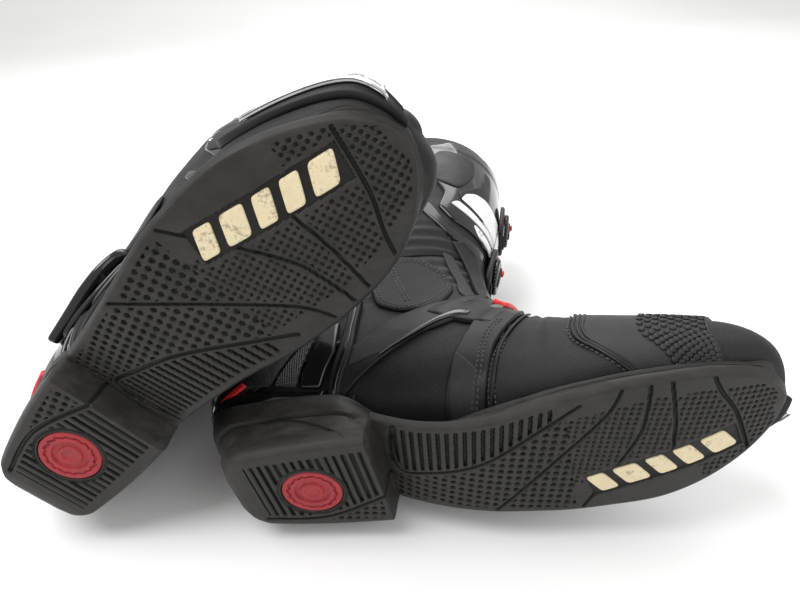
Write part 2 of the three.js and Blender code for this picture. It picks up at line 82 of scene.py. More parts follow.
# front x, front z, back x, back z, half width, middle y, front fullness, back fullness, widest share
STATIONS = np.array([
    [306, 38, 307, 22, 8, -5, 2.0, 2.0, 0.5], [301, 46, 303, 15, 22, -5, 2.1, 2.4, 0.42],
    [288, 55, 290, 12, 32, -4, 2.2, 3.0, 0.38], [265, 64, 264, 11, 40, -1, 2.2, 3.4, 0.36],
    [238, 74, 236, 11, 44.5, 1.5, 2.2, 3.6, 0.36], [212, 87, 206, 12, 44.5, 2.5, 2.1, 3.4, 0.36],
    [192, 102, 172, 15, 42, 3.5, 2.0, 3.0, 0.36], [179, 116, 122, 25, 39, 4, 2.0, 2.8, 0.40],
    [172, 127, 62, 40, 38, 2.5, 2.1, 2.8, 0.44], [168, 137, 8, 44, 38, 1, 2.1, 2.6, 0.46],
    [166, 147, -13, 66, 38.5, 0, 2.1, 2.3, 0.48], [165, 158, -12, 96, 41, 0, 2.1, 2.2, 0.50],
    [166, 172, 1, 132, 45, 0, 2.1, 2.2, 0.50], [171, 193, 13, 170, 50, 0, 2.1, 2.2, 0.50],
    [179, 223, 23, 208, 55, 0, 2.1, 2.2, 0.50], [186, 262, 32, 252, 59, 0, 2.1, 2.2, 0.50],
    [190, 298, 38, 293, 60.5, 0, 2.1, 2.2, 0.50], [192, 325, 41, 325, 61, 0, 2.1, 2.2, 0.50]], float)
# x, outer edge y, inner edge y of the sole's ground outline
SOLE_PLAN = np.array([
    [12, 1.5, -3], [13, 8, -12], [15, 14, -19], [18.5, 19, -25], [23, 22.5, -28.5],
    [30, 25.5, -30.5], [60, 31.5, -32], [96, 35.5, -31], [125, 37.5, -29], [160, 41.5, -31.5],
    [190, 46, -38.5], [212, 46.5, -41.5], [238, 45, -42.5], [262, 37.5, -40], [282, 26, -32], [294, 15, -22],
    [300, 6, -14], [302.5, -1, -8], [303.5, -4, -5]], float)


# ---------------------------------------------------------------- curves and the boot's skin
def full_turn(count):
    """Even angles round a full turn."""
    return np.linspace(0, 2 * math.pi, count, endpoint=False)


def boxed(wave, power):
    """A sine or cosine wave with its size raised to a power and its sign kept."""
    return np.sign(wave) * np.abs(wave) ** power


def run_length(points):
    """Distance run along a line of points, at each point."""
    return np.concatenate([[0], np.cumsum(np.linalg.norm(np.diff(points, axis=0), axis=1))])


def spline(rows, at):
    """Uniform Catmull-Rom curve through the rows, one row to each whole number of at."""
    rows = np.asarray(rows, float)
    last = len(rows) - 1
    i = np.clip(np.floor(at).astype(int), 0, last - 1)
    t = (np.asarray(at, float) - i)[..., None]
    a, b, c, d = (rows[np.clip(i + k, 0, last)] for k in (-1, 0, 1, 2))
    return 0.5 * (2 * b + (c - a) * t + (2 * a - 5 * b + 4 * c - d) * t ** 2
                  + (3 * b - a - 3 * c + d) * t ** 3)


def curve(rows, count):
    """That curve sampled at count even steps."""
    return spline(rows, np.linspace(0, len(rows) - 1, count))


def skin(s, v):
    """Superellipse section between a station's front and back points; v is in radians."""
    s, v = np.broadcast_arrays(np.asarray(s, float), np.asarray(v, float))
    front_x, front_z, back_x, back_z, half, mid, front_n, back_n, widest = np.moveaxis(
        spline(STATIONS, s), -1, 0)
    c, q = np.cos(v), np.sin(v)
    n = np.where(c > 0, front_n, back_n)
    r = (np.abs(c) ** n + np.abs(q) ** n) ** (-1 / n)
    along = np.where(c > 0, widest + (1 - widest) * c * r, widest + widest * c * r)
    return np.stack([back_x + (front_x - back_x) * along, mid + half * q * r,
                     back_z + (front_z - back_z) * along], -1)


def unit(a):
    """Vectors scaled to length 1."""
    return a / (np.linalg.norm(a, axis=-1, keepdims=True) + 1e-12)


def outward(s, v):
    """Unit normal of the skin, from its two tangents."""
    e = 0.02
    return unit(np.cross(skin(s, v + e) - skin(s, v - e), skin(s + e, v) - skin(s - e, v)))


def lifted(s, v, lift):
    """Skin point raised along its normal by lift millimetres."""
    s, v, lift = np.broadcast_arrays(s, v, lift)
    return skin(s, v) + outward(s, v) * lift[..., None]


def steps(s, v):
    """The skin's two tangents, per station and per radian."""
    e = 0.004
    return (skin(s + e, v) - skin(s - e, v)) / (2 * e), (skin(s, v + e) - skin(s, v - e)) / (2 * e)


def slide(s, v, by):
    """Station and angle after moving by a small vector along the skin (least squares on the tangents)."""
    a, b = steps(s, v)
    aa, ab, bb = (a * a).sum(-1), (a * b).sum(-1), (b * b).sum(-1)
    pa, pb = (a * by).sum(-1), (b * by).sum(-1)
    det = aa * bb - ab * ab + 1e-9
    return s + (bb * pa - ab * pb) / det, v + (aa * pb - ab * pa) / det


FIND_S, FIND_V = (g.ravel() for g in np.meshgrid(np.linspace(0, LAST_STATION, 171),
                                                 np.radians(np.linspace(2, 178, 89)), indexing="ij"))
FIND_OUT = skin(FIND_S, FIND_V)
FIND_IN = skin(FIND_S, -FIND_V)


def find(points, side):
    """(s, v) of the skin over side-view points (x, z): nearest of a table, then Newton steps.

    side is 1 for the outer half of the boot and -1 for the inner one."""
    points = np.asarray(points, float).reshape(-1, 2)
    table = FIND_OUT if side > 0 else FIND_IN
    near = ((points[:, None, :] - table[None][..., ::2]) ** 2).sum(-1).argmin(1)
    s, v = FIND_S[near].copy(), FIND_V[near] * side
    for _ in range(8):
        here = skin(s, v)
        a, b = steps(s, v)
        miss = points - here[:, ::2]
        det = a[:, 0] * b[:, 2] - a[:, 2] * b[:, 0]
        det = np.where(np.abs(det) < 1e-3, np.inf, det)
        s = np.clip(s + np.clip((miss[:, 0] * b[:, 2] - miss[:, 1] * b[:, 0]) / det, -.1, .1), 0,
                    LAST_STATION)
        v = v + np.clip((miss[:, 1] * a[:, 0] - miss[:, 0] * a[:, 2]) / det, -.06, .06)
        v = np.clip(np.abs(v), 0.02, math.pi - 0.02) * side
    return np.stack([s, v], -1)


def ramp(x, low, high):
    """0 below low, 1 above high, with a smooth S between."""
    t = np.clip((x - low) / (high - low), 0, 1)
    return t * t * (3 - 2 * t)


def ripple(points, size, seed=0.0):
    """Soft uneven swell from -1 to 1: a sum of five slanted sine waves of about that size."""
    total = np.zeros(points.shape[:-1])
    for k in range(5):
        a, b = 2.4 * k + seed, 1.7 * k + 1.3 * seed
        way = np.array([math.cos(a) * math.cos(b), math.sin(a) * math.cos(b), math.sin(b)])
        total = total + np.sin(points @ way * (2 * math.pi / size) * (0.7 + 0.17 * k) + 5.1 * k + seed)
    return total / 5


# ---------------------------------------------------------------- closed surfaces
def cells(number, wrap_u=False, wrap_v=False):
    """Quads over a grid of vertex numbers."""
    a = np.concatenate([number, number[:1]]) if wrap_u else number
    a = np.concatenate([a, a[:, :1]], 1) if wrap_v else a
    return np.stack([a[:-1, :-1], a[1:, :-1], a[1:, 1:], a[:-1, 1:]], -1).reshape(-1, 4)


def volume(points, quads):
    """Signed volume inside a closed surface."""
    p = points[quads]
    return (np.einsum("ij,ij->i", np.cross(p[:, 0], p[:, 1]), p[:, 2]).sum()
            + np.einsum("ij,ij->i", np.cross(p[:, 0], p[:, 2]), p[:, 3]).sum()) / 6


class Shape:
    """Closed surfaces gathered into one mesh, each turned to face outwards. mark is a pattern place."""

    def __init__(self):
        self.points, self.quads, self.marks, self.count = [], [], [], 0

    def add(self, points, quads, marks=None):
        """One closed surface, turned round if its volume comes out negative."""
        points = np.asarray(points, float).reshape(-1, 3)
        centre = points.mean(0)
        if volume(points - centre, quads) < 0:
            quads = quads[:, [3, 2, 1, 0]]
            same = quads[:, 0] == quads[:, 1]
            quads[same] = quads[same][:, [1, 2, 3, 3]]
        self.points.append(points)
        self.quads.append(quads + self.count)
        self.marks.append(points if marks is None else np.asarray(marks, float).reshape(-1, 3))
        self.count += len(points)
        return self

    def tube(self, rows, marks=None):
        """Rings in order, each closed on itself, with both ends closed to their middle points."""
        n, m = rows.shape[:2]
        number = np.arange(n * m).reshape(n, m)
        turn = np.roll(np.arange(m), -1)
        first, last = number[0], number[-1]
        ends = np.concatenate([
            np.stack([np.full(m, n * m), first, first[turn], first[turn]], -1),
            np.stack([np.full(m, n * m + 1), last[turn], last, last], -1)])
        points = np.concatenate([rows.reshape(-1, 3), rows[:1].mean(1), rows[-1:].mean(1)])
        if marks is not None:
            marks = np.concatenate([marks.reshape(-1, 3), marks[:1].mean(1), marks[-1:].mean(1)])
        return self.add(points, np.concatenate([cells(number, wrap_v=True), ends]), marks)

    def ring(self, rows, marks=None):
        """Rings in order, the last joined to the first: a closed hollow wall."""
        number = np.arange(rows.shape[0] * rows.shape[1]).reshape(rows.shape[:2])
        return self.add(rows.reshape(-1, 3), cells(number, True, True), marks)

    def pillow(self, top, bottom, marks=None):
        """Two grids that meet along their borders."""
        n, m = top.shape[:2]
        number = np.arange(n * m).reshape(n, m)
        under = number.copy()
        under[1:-1, 1:-1] = n * m + np.arange((n - 2) * (m - 2)).reshape(n - 2, m - 2)
        points = np.concatenate([top.reshape(-1, 3), bottom[1:-1, 1:-1].reshape(-1, 3)])
        if marks is not None:
            marks = np.concatenate([marks.reshape(-1, 3), marks[1:-1, 1:-1].reshape(-1, 3)])
        quads = np.concatenate([cells(number), cells(under)[:, ::-1]])
        return self.add(points, quads, marks)

    def copies(self, points, quads, places, axes):
        """One small closed shape set at many places, each with its own three axes (n, 3, 3)."""
        if volume(points, quads) * np.linalg.det(axes[0]) < 0:
            quads = quads[:, ::-1]
        k = len(points)
        placed = np.einsum("pi,nij->npj", points, axes) + places[:, None, :]
        numbers = (quads[None] + k * np.arange(len(places))[:, None, None]).reshape(-1, 4)
        self.points.append(placed.reshape(-1, 3))
        self.quads.append(numbers + self.count)
        self.marks.append(placed.reshape(-1, 3))
        self.count += k * len(places)
        return self


def rounded_wall(depth, edge):
    """Share of full height at that depth in from the rim: a quarter circle of that radius."""
    t = np.clip(depth / edge, 0, 1)
    return np.sqrt(np.clip(1 - (1 - t) ** 2, 0, 1))


def spaced(length, edge, count):
    """Shares of a length: close together in the rounded rim at both ends, even between them."""
    rim = edge * (1 - np.cos(np.linspace(0, math.pi / 2, 5)))[:-1] / max(length, 1e-6)
    rim = np.minimum(rim, 0.4 * np.linspace(0, 1, 5)[:-1] + 1e-4 * np.arange(4))
    first = min(edge / max(length, 1e-6), 0.42)
    return np.concatenate([rim, np.linspace(first, 1 - first, count), 1 - rim[::-1]])


def slab(shape, place, lift, thick, edge=1.2, count=(40, 12), relief=None):
    """A panel on the skin: place(a, b) gives (s, v) for a and b from 0 to 1.

    Its top stands lift + thick above the skin, falls in a quarter round of radius edge at all four
    rims, and relief(s, v, a, b, points) in millimetres is added to the top away from the rims."""
    probe_a, probe_b = place(np.linspace(0, 1, 30), 0.5), place(np.full(30, 0.5), np.linspace(0, 1, 30))
    long_a, long_b = (np.linalg.norm(np.diff(skin(*p), axis=0), axis=1).sum() for p in (probe_a, probe_b))
    a, b = np.meshgrid(spaced(long_a, edge, count[0]), spaced(long_b, edge, count[1]), indexing="ij")
    s, v = place(a, b)
    flat = skin(s, v)
    along = np.cumsum(np.linalg.norm(np.diff(flat, axis=0, prepend=flat[:1]), axis=-1), 0)
    across = np.cumsum(np.linalg.norm(np.diff(flat, axis=1, prepend=flat[:, :1]), axis=-1), 1)
    rim = (rounded_wall(np.minimum(along, along[-1:] - along), edge)
           * rounded_wall(np.minimum(across, across[:, -1:] - across), edge))
    high = np.broadcast_to(lift(s, v) if callable(lift) else lift, s.shape)
    rise = thick * rim
    if relief is not None:
        rise = rise + relief(s, v, a, b, flat) * rim
    n = outward(s, v)
    marks = np.stack([along, across, rise], -1)
    shape.pillow(flat + n * (high + rise)[..., None], flat + n * high[..., None], marks)
    return shape


def panel(shape, outline, lift, thick, edge=1.2, centre=None, rings=8, relief=None):
    """A panel with any outline that its centre can see: outline is (n, 2) of (s, v) round the rim.

    The rim is set in along the skin by the quarter round, then filled to the centre in even rings."""
    s, v = outline[:, 0], outline[:, 1]
    flat = skin(s, v)
    n = outward(s, v)
    run = unit(np.roll(flat, -1, 0) - np.roll(flat, 1, 0))
    inward = np.cross(n, run)
    middle = outline.mean(0) if centre is None else np.asarray(centre, float)
    if (inward * (skin(*middle) - flat)).sum() < 0:
        inward = -inward
    rows, heights = [], []
    for angle in np.linspace(0, math.pi / 2, 5):
        set_in = edge * (1 - math.cos(angle))
        rows.append(np.stack(slide(s, v, inward * set_in), -1))
        heights.append(np.full(len(s), math.sin(angle)))
    inner = rows[-1]
    for k in range(1, rings):
        rows.append(middle + (inner - middle) * (1 - k / rings))
        heights.append(np.ones(len(s)))
    rows, heights = np.array(rows), np.array(heights)
    s, v = rows[..., 0], rows[..., 1]
    flat, n = skin(s, v), outward(s, v)
    rise = heights * thick
    if relief is not None:
        rise = rise + heights * relief(s, v, flat)
    high = np.broadcast_to(lift(s, v) if callable(lift) else lift, s.shape)
    top = flat + n * (high + rise)[..., None]
    low = flat + n * high[..., None]
    shape.tube(np.concatenate([low[1:][::-1], top]))
    return shape


def tube_frames(path):
    """Unit tangents and two unit normals that turn as little as they can along a path."""
    run = unit(np.gradient(path, axis=0))
    side = np.zeros_like(path)
    start = np.array([0.0, 0.0, 1.0]) if abs(run[0, 2]) < 0.9 else np.array([1.0, 0.0, 0.0])
    side[0] = unit(start - run[0] * (start @ run[0]))
    for i in range(1, len(path)):
        side[i] = unit(side[i - 1] - run[i] * (side[i - 1] @ run[i]))
    return run, side, np.cross(run, side)


def cord_tube(shape, path, radius, sides=8, flatten=1.0, up=None):
    """A round (or flattened) bead along a path; up gives the flattened direction at each point."""
    run, a, b = tube_frames(path)
    if up is not None:
        a = unit(up - run * (up * run).sum(-1, keepdims=True))
        b = np.cross(run, a)
    turn = full_turn(sides)
    radius = np.broadcast_to(radius, len(path))
    ends = np.ones(len(path))
    ends[0] = ends[-1] = 0.35
    rows = (path[:, None] + (a[:, None] * np.cos(turn)[None, :, None] * flatten
                             + b[:, None] * np.sin(turn)[None, :, None])
            * (radius * ends)[:, None, None])
    shape.tube(rows)
    return shape


def bead(shape, line, lift, radius, count=None, sides=8, flatten=0.6):
    """Piping on the skin along a line of (s, v) points."""
    flat = skin(line[:, 0], line[:, 1])
    far = run_length(flat)
    count = count or max(8, int(far[-1] / 1.6))
    even = np.linspace(0, far[-1], count)
    s, v = np.interp(even, far, line[:, 0]), np.interp(even, far, line[:, 1])
    n = outward(s, v)
    high = np.broadcast_to(lift, len(s))
    return cord_tube(shape, skin(s, v) + n * high[:, None], radius, sides, flatten, n)


DASH_TURN = full_turn(6)
DASH_ROWS = np.array([[x, r * math.cos(t), r * math.sin(t)] for x, r in
                      ((-1, 0.3), (-0.8, 0.85), (-.3, 1), (.3, 1), (0.8, 0.85), (1, 0.3)) for t in DASH_TURN])
DASH_QUADS = cells(np.arange(36).reshape(6, 6), wrap_v=True)


def stitches(shape, line, lift, pitch=3.0, length=2.1, radius=0.5, gap=0.0):
    """A row of thread dashes on the skin along a line of (s, v) points, each a small capsule."""
    flat = skin(line[:, 0], line[:, 1])
    far = run_length(flat)
    even = np.arange(pitch, far[-1] - pitch * 0.5, pitch)
    s, v = np.interp(even, far, line[:, 0]), np.interp(even, far, line[:, 1])
    n = outward(s, v)
    ahead = skin(np.interp(even + .5, far, line[:, 0]), np.interp(even + .5, far, line[:, 1]))
    run = unit(ahead - skin(s, v))
    across = np.cross(n, run)
    if gap:
        s, v = slide(s, v, across * gap)
    axes = np.stack([run * length / 2, across * radius, n * radius * 0.8], 1)
    number = np.concatenate([DASH_QUADS, [[0, 1, 2, 3], [0, 3, 4, 5], [30, 33, 32, 31], [30, 35, 34, 33]]])
    return shape.copies(DASH_ROWS, number, skin(s, v) + n * np.broadcast_to(lift, len(s))[:, None], axes)


def hexes(shape, s, v, lift, size, high):
    """Raised six-sided studs, each a short prism with a narrower flat top."""
    turn = np.radians(np.arange(6) * 60)
    flat = np.stack([np.cos(turn), np.sin(turn), np.zeros(6)], -1)
    base = np.concatenate([flat, flat * [.95, .95, 0] + [0, 0, .75],
                           flat * [.72, .72, 0] + [0, 0, 1]])
    number = np.arange(18).reshape(3, 6)
    quads = np.concatenate([cells(number, wrap_v=True), [[0, 1, 2, 3], [0, 3, 4, 5]],
                            [[12, 15, 14, 13], [12, 17, 16, 15]]])
    n = outward(s, v)
    run = unit(steps(s, v)[0])
    across = np.cross(n, run)
    axes = np.stack([run * size, across * size, n * high], 1)
    return shape.copies(base, quads, skin(s, v) + n * np.broadcast_to(lift, np.shape(s))[..., None], axes)


# ---------------------------------------------------------------- shader kit
class Signal:
    """A shader socket that adds its Math nodes when it is used in sums."""

    def __init__(self, finish, socket):
        self.finish, self.socket = finish, socket

    def math(self, operation, *values):
        """A Math node over these values."""
        node = self.finish.node("ShaderNodeMath", dict(enumerate(values)), operation=operation)
        return Signal(self.finish, node.outputs[0])

    def __add__(self, other):
        return self.math("ADD", self, other)

    def __sub__(self, other):
        return self.math("SUBTRACT", self, other)

    def __rsub__(self, other):
        return self.math("SUBTRACT", other, self)

    def __mul__(self, other):
        return self.math("MULTIPLY", self, other)

    def __truediv__(self, other):
        return self.math("DIVIDE", self, other)

    def __pow__(self, other):
        return self.math("POWER", self, other)

    __radd__, __rmul__ = __add__, __mul__

    def between(self, low, high, start=0.0, end=1.0):
        """Smooth step from start at low to end at high."""
        node = self.finish.node("ShaderNodeMapRange", {"Value": self, "From Min": low, "From Max": high,
                                                       "To Min": start, "To Max": end},
                                interpolation_type="SMOOTHSTEP")
        return Signal(self.finish, node.outputs[0])

    def sine(self):
        """Sine of the signal."""
        return self.math("SINE", self)

    def size(self):
        """The signal without its sign."""
        return self.math("ABSOLUTE", self)


class Finish:
    """One material, its shader and the patterns it is built from. Sizes are in metres."""

    def __init__(self, name, rough=0.5, metallic=0.0, coat=0.0, specular=0.5, sheen=0.0):
        self.material = bpy.data.materials.new(name)
        self.material.use_nodes = True
        self.tree = self.material.node_tree
        self.shader = self.tree.nodes["Principled BSDF"]
        for socket, value in (("Roughness", rough), ("Metallic", metallic), ("Coat Weight", coat),
                              ("Specular IOR Level", specular), ("Sheen Weight", sheen),
                              ("Coat Roughness", 0.12), ("Sheen Roughness", 0.5)):
            self.shader.inputs[socket].default_value = value
        self.object = self.node("ShaderNodeTexCoord").outputs["Object"]
        self.place = self.node("ShaderNodeAttribute", attribute_name="place").outputs["Vector"]
        self.bumps = None

    def node(self, kind, values=None, **settings):
        """Any node: its settings first, then the values or links of its sockets."""
        node = self.tree.nodes.new(kind)
        for key, value in settings.items():
            if key == "stops":
                band = node.color_ramp
                while len(band.elements) < len(value):
                    band.elements.new(0.5)
                for element, (at, colour) in zip(band.elements, value):
                    element.position, element.color = at, colour
            else:
                setattr(node, key, value)
        for key, value in (values or {}).items():
            value = value.socket if isinstance(value, Signal) else value
            if isinstance(value, bpy.types.NodeSocket):
                self.tree.links.new(value, node.inputs[key])
            else:
                node.inputs[key].default_value = value
        return node

    def stretched(self, source, scale):
        """A pattern place scaled along each axis."""
        return self.node("ShaderNodeMapping", {"Vector": source, "Scale": scale}).outputs[0]

    def noise(self, scale, detail=2.0, rough=0.5, source=None, stretch=None):
        """Cloudy noise from 0 to 1."""
        source = self.object if source is None else source
        if stretch is not None:
            source = self.stretched(source, stretch)
        node = self.node("ShaderNodeTexNoise", {"Vector": source, "Scale": scale, "Detail": detail,
                                                "Roughness": rough})
        return Signal(self, node.outputs["Fac"])

    def grain(self, scale, feature="F1", source=None, spread=1.0):
        """Distance to the nearest cell middle of a pebbled pattern."""
        source = self.object if source is None else source
        node = self.node("ShaderNodeTexVoronoi", {"Vector": source, "Scale": scale, "Randomness": spread},
                         feature=feature)
        return Signal(self, node.outputs["Distance"])

    def axis(self, index, source=None):
        """One axis of the pattern place."""
        node = self.node("ShaderNodeSeparateXYZ", {0: self.place if source is None else source})
        return Signal(self, node.outputs[index])

    def shades(self, factor, *stops):
        """Colour that runs through (position, (r, g, b)) stops as the factor rises."""
        node = self.node("ShaderNodeValToRGB", {"Fac": factor},
                         stops=[(at, (*colour, 1)) for at, colour in stops])
        return node.outputs["Color"]

    def mixed(self, factor, first, second):
        """Two colours mixed by a factor."""
        node = self.node("ShaderNodeMix", data_type="RGBA")
        for socket, value in ((node.inputs[0], factor), (node.inputs[6], first), (node.inputs[7], second)):
            value = value.socket if isinstance(value, Signal) else value
            if isinstance(value, bpy.types.NodeSocket):
                self.tree.links.new(value, socket)
            else:
                socket.default_value = value if isinstance(value, float) else (*value, 1)
        return node.outputs[2]

    def bump(self, height, distance, strength=1.0):
        """Adds a bump of that height in metres to those before it."""
        values = {"Height": height, "Distance": distance, "Strength": strength}
        if self.bumps is not None:
            values["Normal"] = self.bumps
        self.bumps = self.node("ShaderNodeBump", values).outputs[0]

    def done(self, colour, rough=None, **more):
        """Links the colour, the roughness and the bumps, and gives the material."""
        for socket, value in (("Base Color", colour), ("Roughness", rough), ("Normal", self.bumps),
                              *((k.replace("_", " ").title(), x) for k, x in more.items())):
            if value is None:
                continue
            value = value.socket if isinstance(value, Signal) else value
            if isinstance(value, bpy.types.NodeSocket):
                self.tree.links.new(value, self.shader.inputs[socket])
            elif isinstance(value, tuple):
                self.shader.inputs[socket].default_value = (*value, 1)
            else:
                self.shader.inputs[socket].default_value = value
        return self.material


def leather():
    """Coated microfibre: fine pebble grain, soft creases, a slightly lighter worn bloom."""
    f = Finish("leather", specular=0.28)
    cloud = f.noise(26, 4, 0.6)
    pebble = f.grain(1500)
    fine = f.noise(3800, 2)
    f.bump(f.noise(130, 3, 0.6), 0.0006, 0.35)
    f.bump(pebble + fine * 0.35, 0.00022, 0.75)
    colour = f.shades(cloud + f.noise(900, 2) * 0.25, (0.4, (0.0078, 0.0078, 0.0079)),
                      (0.62, (0.0115, 0.0115, 0.0116)), (0.9, (0.019, 0.019, 0.0188)))
    return f.done(colour, cloud.between(0.3, 0.75, 0.48, 0.64) + fine * 0.06)


def sole_rubber():
    """Worn dark rubber: fine grain, dusty lighter rubs, scuff lines along the ground, painted shade in the deep
    cuts.
    """
    f = Finish("sole_rubber", specular=0.25)
    cloud = f.noise(34, 5, 0.62)
    rub = f.noise(240, 5, 0.7, stretch=(0.35, 1.0, 0.6))
    f.bump(f.noise(2600, 3) + f.noise(700, 2) * 0.6, 0.00016, 0.7)
    dust = (cloud * 0.65 + rub * 0.35).between(0.42, 0.68)
    worn_tone = f.mixed(dust, f.shades(rub, (0.3, (0.018, 0.0172, 0.0158)), (0.75, (0.028, 0.0266, 0.0244))),
                        f.shades(rub, (0.3, (0.029, 0.0276, 0.0254)), (0.8, (0.046, 0.0435, 0.0398))))
    # painted shade: darker where the third place axis is high, which on the tread is the depth of its cuts
    deep = f.axis(2).between(0.3, 1.1)
    colour = f.mixed(deep, worn_tone, (0.0075, 0.0070, 0.0064))
    return f.done(colour, dust.between(0, 1, 0.50, 0.72))


def satin():
    """Moulded plastic with a fine spark-eroded skin and a few light scuffs."""
    f = Finish("satin", specular=0.26)
    cloud = f.noise(60, 3)
    scuff = f.noise(420, 4, 0.65, stretch=(1.0, 0.12, 1.0)).between(0.64, 0.78)
    f.bump(f.noise(2400, 2) + f.grain(1900) * 0.4, 0.00012, 0.6)
    f.bump(scuff, 0.00006, 0.5)
    tone = f.shades(cloud, (0.3, (0.0095, 0.0096, 0.0098)), (0.8, (0.0155, 0.0156, 0.0158)))
    colour = f.mixed(scuff * 0.4, tone, (0.055, 0.055, 0.055))
    return f.done(colour, cloud.between(0.3, 0.7, 0.40, 0.54) + scuff * 0.12)


def gloss():
    """Polished black plastic with hairline swirls and a little dust."""
    f = Finish("gloss", specular=0.45, coat=0.25)
    hair = f.noise(900, 3, 0.6, stretch=(1.0, 0.05, 0.6)).between(0.66, 0.74)
    dust = f.noise(1500, 2).between(0.70, 0.78)
    f.bump(f.noise(90, 2), 0.00025, 0.25)
    f.bump(hair, 0.00002, 0.4)
    tone = f.shades(f.noise(40, 2), (0.3, (0.0052, 0.0054, 0.0060)), (0.8, (0.0095, 0.0098, 0.0108)))
    colour = f.mixed(dust * 0.4, tone, (0.11, 0.105, 0.10))
    return f.done(colour, hair * 0.14 + dust * 0.25 + 0.12)


def chrome():
    """Chromed slider: bright metal, rubbed and scratched along the ground side."""
    f = Finish("chrome", metallic=1.0)
    hair = f.noise(520, 5, 0.7, stretch=(0.15, 1.0, 0.4)).between(0.60, 0.72)
    cloud = f.noise(45, 4, 0.6)
    f.bump(hair, 0.00005, 0.5)
    f.bump(f.noise(120, 2), 0.0003, 0.2)
    colour = f.mixed(hair * 0.6, f.shades(cloud, (0.35, (0.56, 0.565, 0.58)), (0.7, (0.78, 0.78, 0.79))),
                     (0.30, 0.29, 0.28))
    return f.done(colour, cloud.between(0.3, 0.7, 0.10, 0.22) + hair * 0.2)


def red():
    """Red moulded plastic with a soft sheen and darker recess tone."""
    f = Finish("red", specular=0.5)
    cloud = f.noise(120, 3)
    f.bump(f.noise(2200, 2), 0.0001, 0.5)
    colour = f.shades(cloud, (0.3, (0.62, 0.018, 0.022)), (0.75, (0.78, 0.030, 0.034)))
    return f.done(colour, cloud.between(0.3, 0.7, 0.34, 0.46))


def disc_red():
    """Dull red rubber of the heel disc, dusty on its high parts."""
    f = Finish("disc_red", specular=0.35)
    cloud = f.noise(180, 4, 0.65)
    f.bump(f.noise(1900, 3), 0.00015, 0.7)
    colour = f.shades(cloud, (0.3, (0.24, 0.017, 0.023)), (0.6, (0.33, 0.026, 0.033)),
                      (0.85, (0.42, 0.065, 0.070)))
    return f.done(colour, cloud.between(0.3, 0.7, 0.50, 0.68))


def beige():
    """Ground-in beige inlay rubber, grey at its scuffs."""
    f = Finish("beige", specular=0.35)
    cloud = f.noise(150, 5, 0.7)
    dirt = (cloud + f.noise(900, 3) * 0.4).between(0.72, 0.9)
    f.bump(f.noise(1700, 3), 0.00015, 0.7)
    colour = f.mixed(dirt, f.shades(cloud, (0.3, (0.64, 0.54, 0.345)), (0.7, (0.76, 0.665, 0.45))),
                     (0.40, 0.335, 0.225))
    return f.done(colour, cloud.between(0.3, 0.7, 0.55, 0.72))


def white():
    """Bright white moulded panel with a little grime in its grain."""
    f = Finish("white", specular=0.5)
    grime = f.noise(300, 5, 0.7).between(0.62, 0.85)
    f.bump(f.noise(1800, 2), 0.00008, 0.5)
    colour = f.mixed(grime * 0.5,
                     f.shades(f.noise(30, 2), (0.3, (0.80, 0.80, 0.81)), (0.7, (0.88, 0.88, 0.88))),
                     (0.45, 0.44, 0.42))
    return f.done(colour, grime.between(0, 1, 0.28, 0.5))


def thread():
    """Twisted dark grey thread."""
    f = Finish("thread", specular=0.3, sheen=0.2)
    twist = (f.axis(0, f.object) + f.axis(2, f.object)) * 9000.0
    f.bump(twist.sine(), 0.00008, 0.8)
    colour = f.shades(f.noise(500, 2), (0.3, (0.030, 0.030, 0.0305)), (0.8, (0.070, 0.070, 0.071)))
    return f.done(colour, f.noise(900, 2).between(0.3, 0.7, 0.55, 0.75))


def lining():
    """Knitted lining: small over-and-under ribs in two directions, with painted shade in the hollows between them.
    """
    f = Finish("lining", specular=0.2, sheen=0.3)
    ribs = (f.axis(2) * 3.4).sine() * (f.axis(0) * 2.6 + f.axis(1) * 2.6).sine()
    f.bump(ribs, 0.0003, 0.7)
    f.bump(f.noise(2400, 2), 0.0001, 0.5)
    # painted shade: the colour follows the ribs, darker in their hollows and lighter on their crests
    colour = f.mixed(ribs.between(-1, 1), (0.020, 0.020, 0.022), (0.048, 0.048, 0.052))
    return f.done(colour, f.noise(200, 2).between(0.3, 0.7, 0.75, 0.9))


def stretch():
    """Stretch fabric of the ankle: tight ribs across the bend, with painted shade in the troughs between them."""
    f = Finish("stretch", specular=0.25, sheen=0.15)
    ribs = (f.axis(2) * 5.2 + f.axis(0) * 1.1).sine()
    f.bump(ribs, 0.00025, 0.6)
    f.bump(f.noise(2600, 3), 0.00012, 0.6)
    # painted shade: the colour follows the ribs, darker in their troughs and lighter on their crests
    colour = f.mixed(ribs.between(-1, 1), (0.013, 0.013, 0.014), (0.030, 0.030, 0.032))
    return f.done(colour, f.noise(300, 2).between(0.3, 0.7, 0.6, 0.78))


def mesh_cloth():
    """Open vent mesh: rows of small holes in a dark grey net, painted near black: partly the dark inside seen
    through them, partly painted shade.
    """
    f = Finish("mesh_cloth", specular=0.35)
    rows = (f.axis(0) * 4.2 + f.axis(2) * 2.4).sine()
    columns = (f.axis(2) * 4.2 - f.axis(0) * 2.4).sine()
    holes = (rows * columns).between(0.0, 0.5)
    f.bump(1.0 - holes, 0.0005, 0.9)
    # near-black holes: the dark inside seen through the net, with painted shade in them
    colour = f.mixed(holes, (0.050, 0.051, 0.054), (0.006, 0.006, 0.007))
    return f.done(colour, holes.between(0, 1, 0.45, 0.8))


def grip():
    """Grippy toe pad rubber: tiny pebbles, greyer where the lever rubs it."""
    f = Finish("grip", specular=0.3)
    cloud = f.noise(70, 4, 0.6)
    f.bump(f.grain(1700) + f.noise(3000, 2) * 0.4, 0.0002, 0.8)
    colour = f.shades(cloud, (0.35, (0.0135, 0.0138, 0.0142)), (0.6, (0.021, 0.021, 0.0215)),
                      (0.85, (0.038, 0.0375, 0.037)))
    return f.done(colour, cloud.between(0.3, 0.7, 0.46, 0.62))


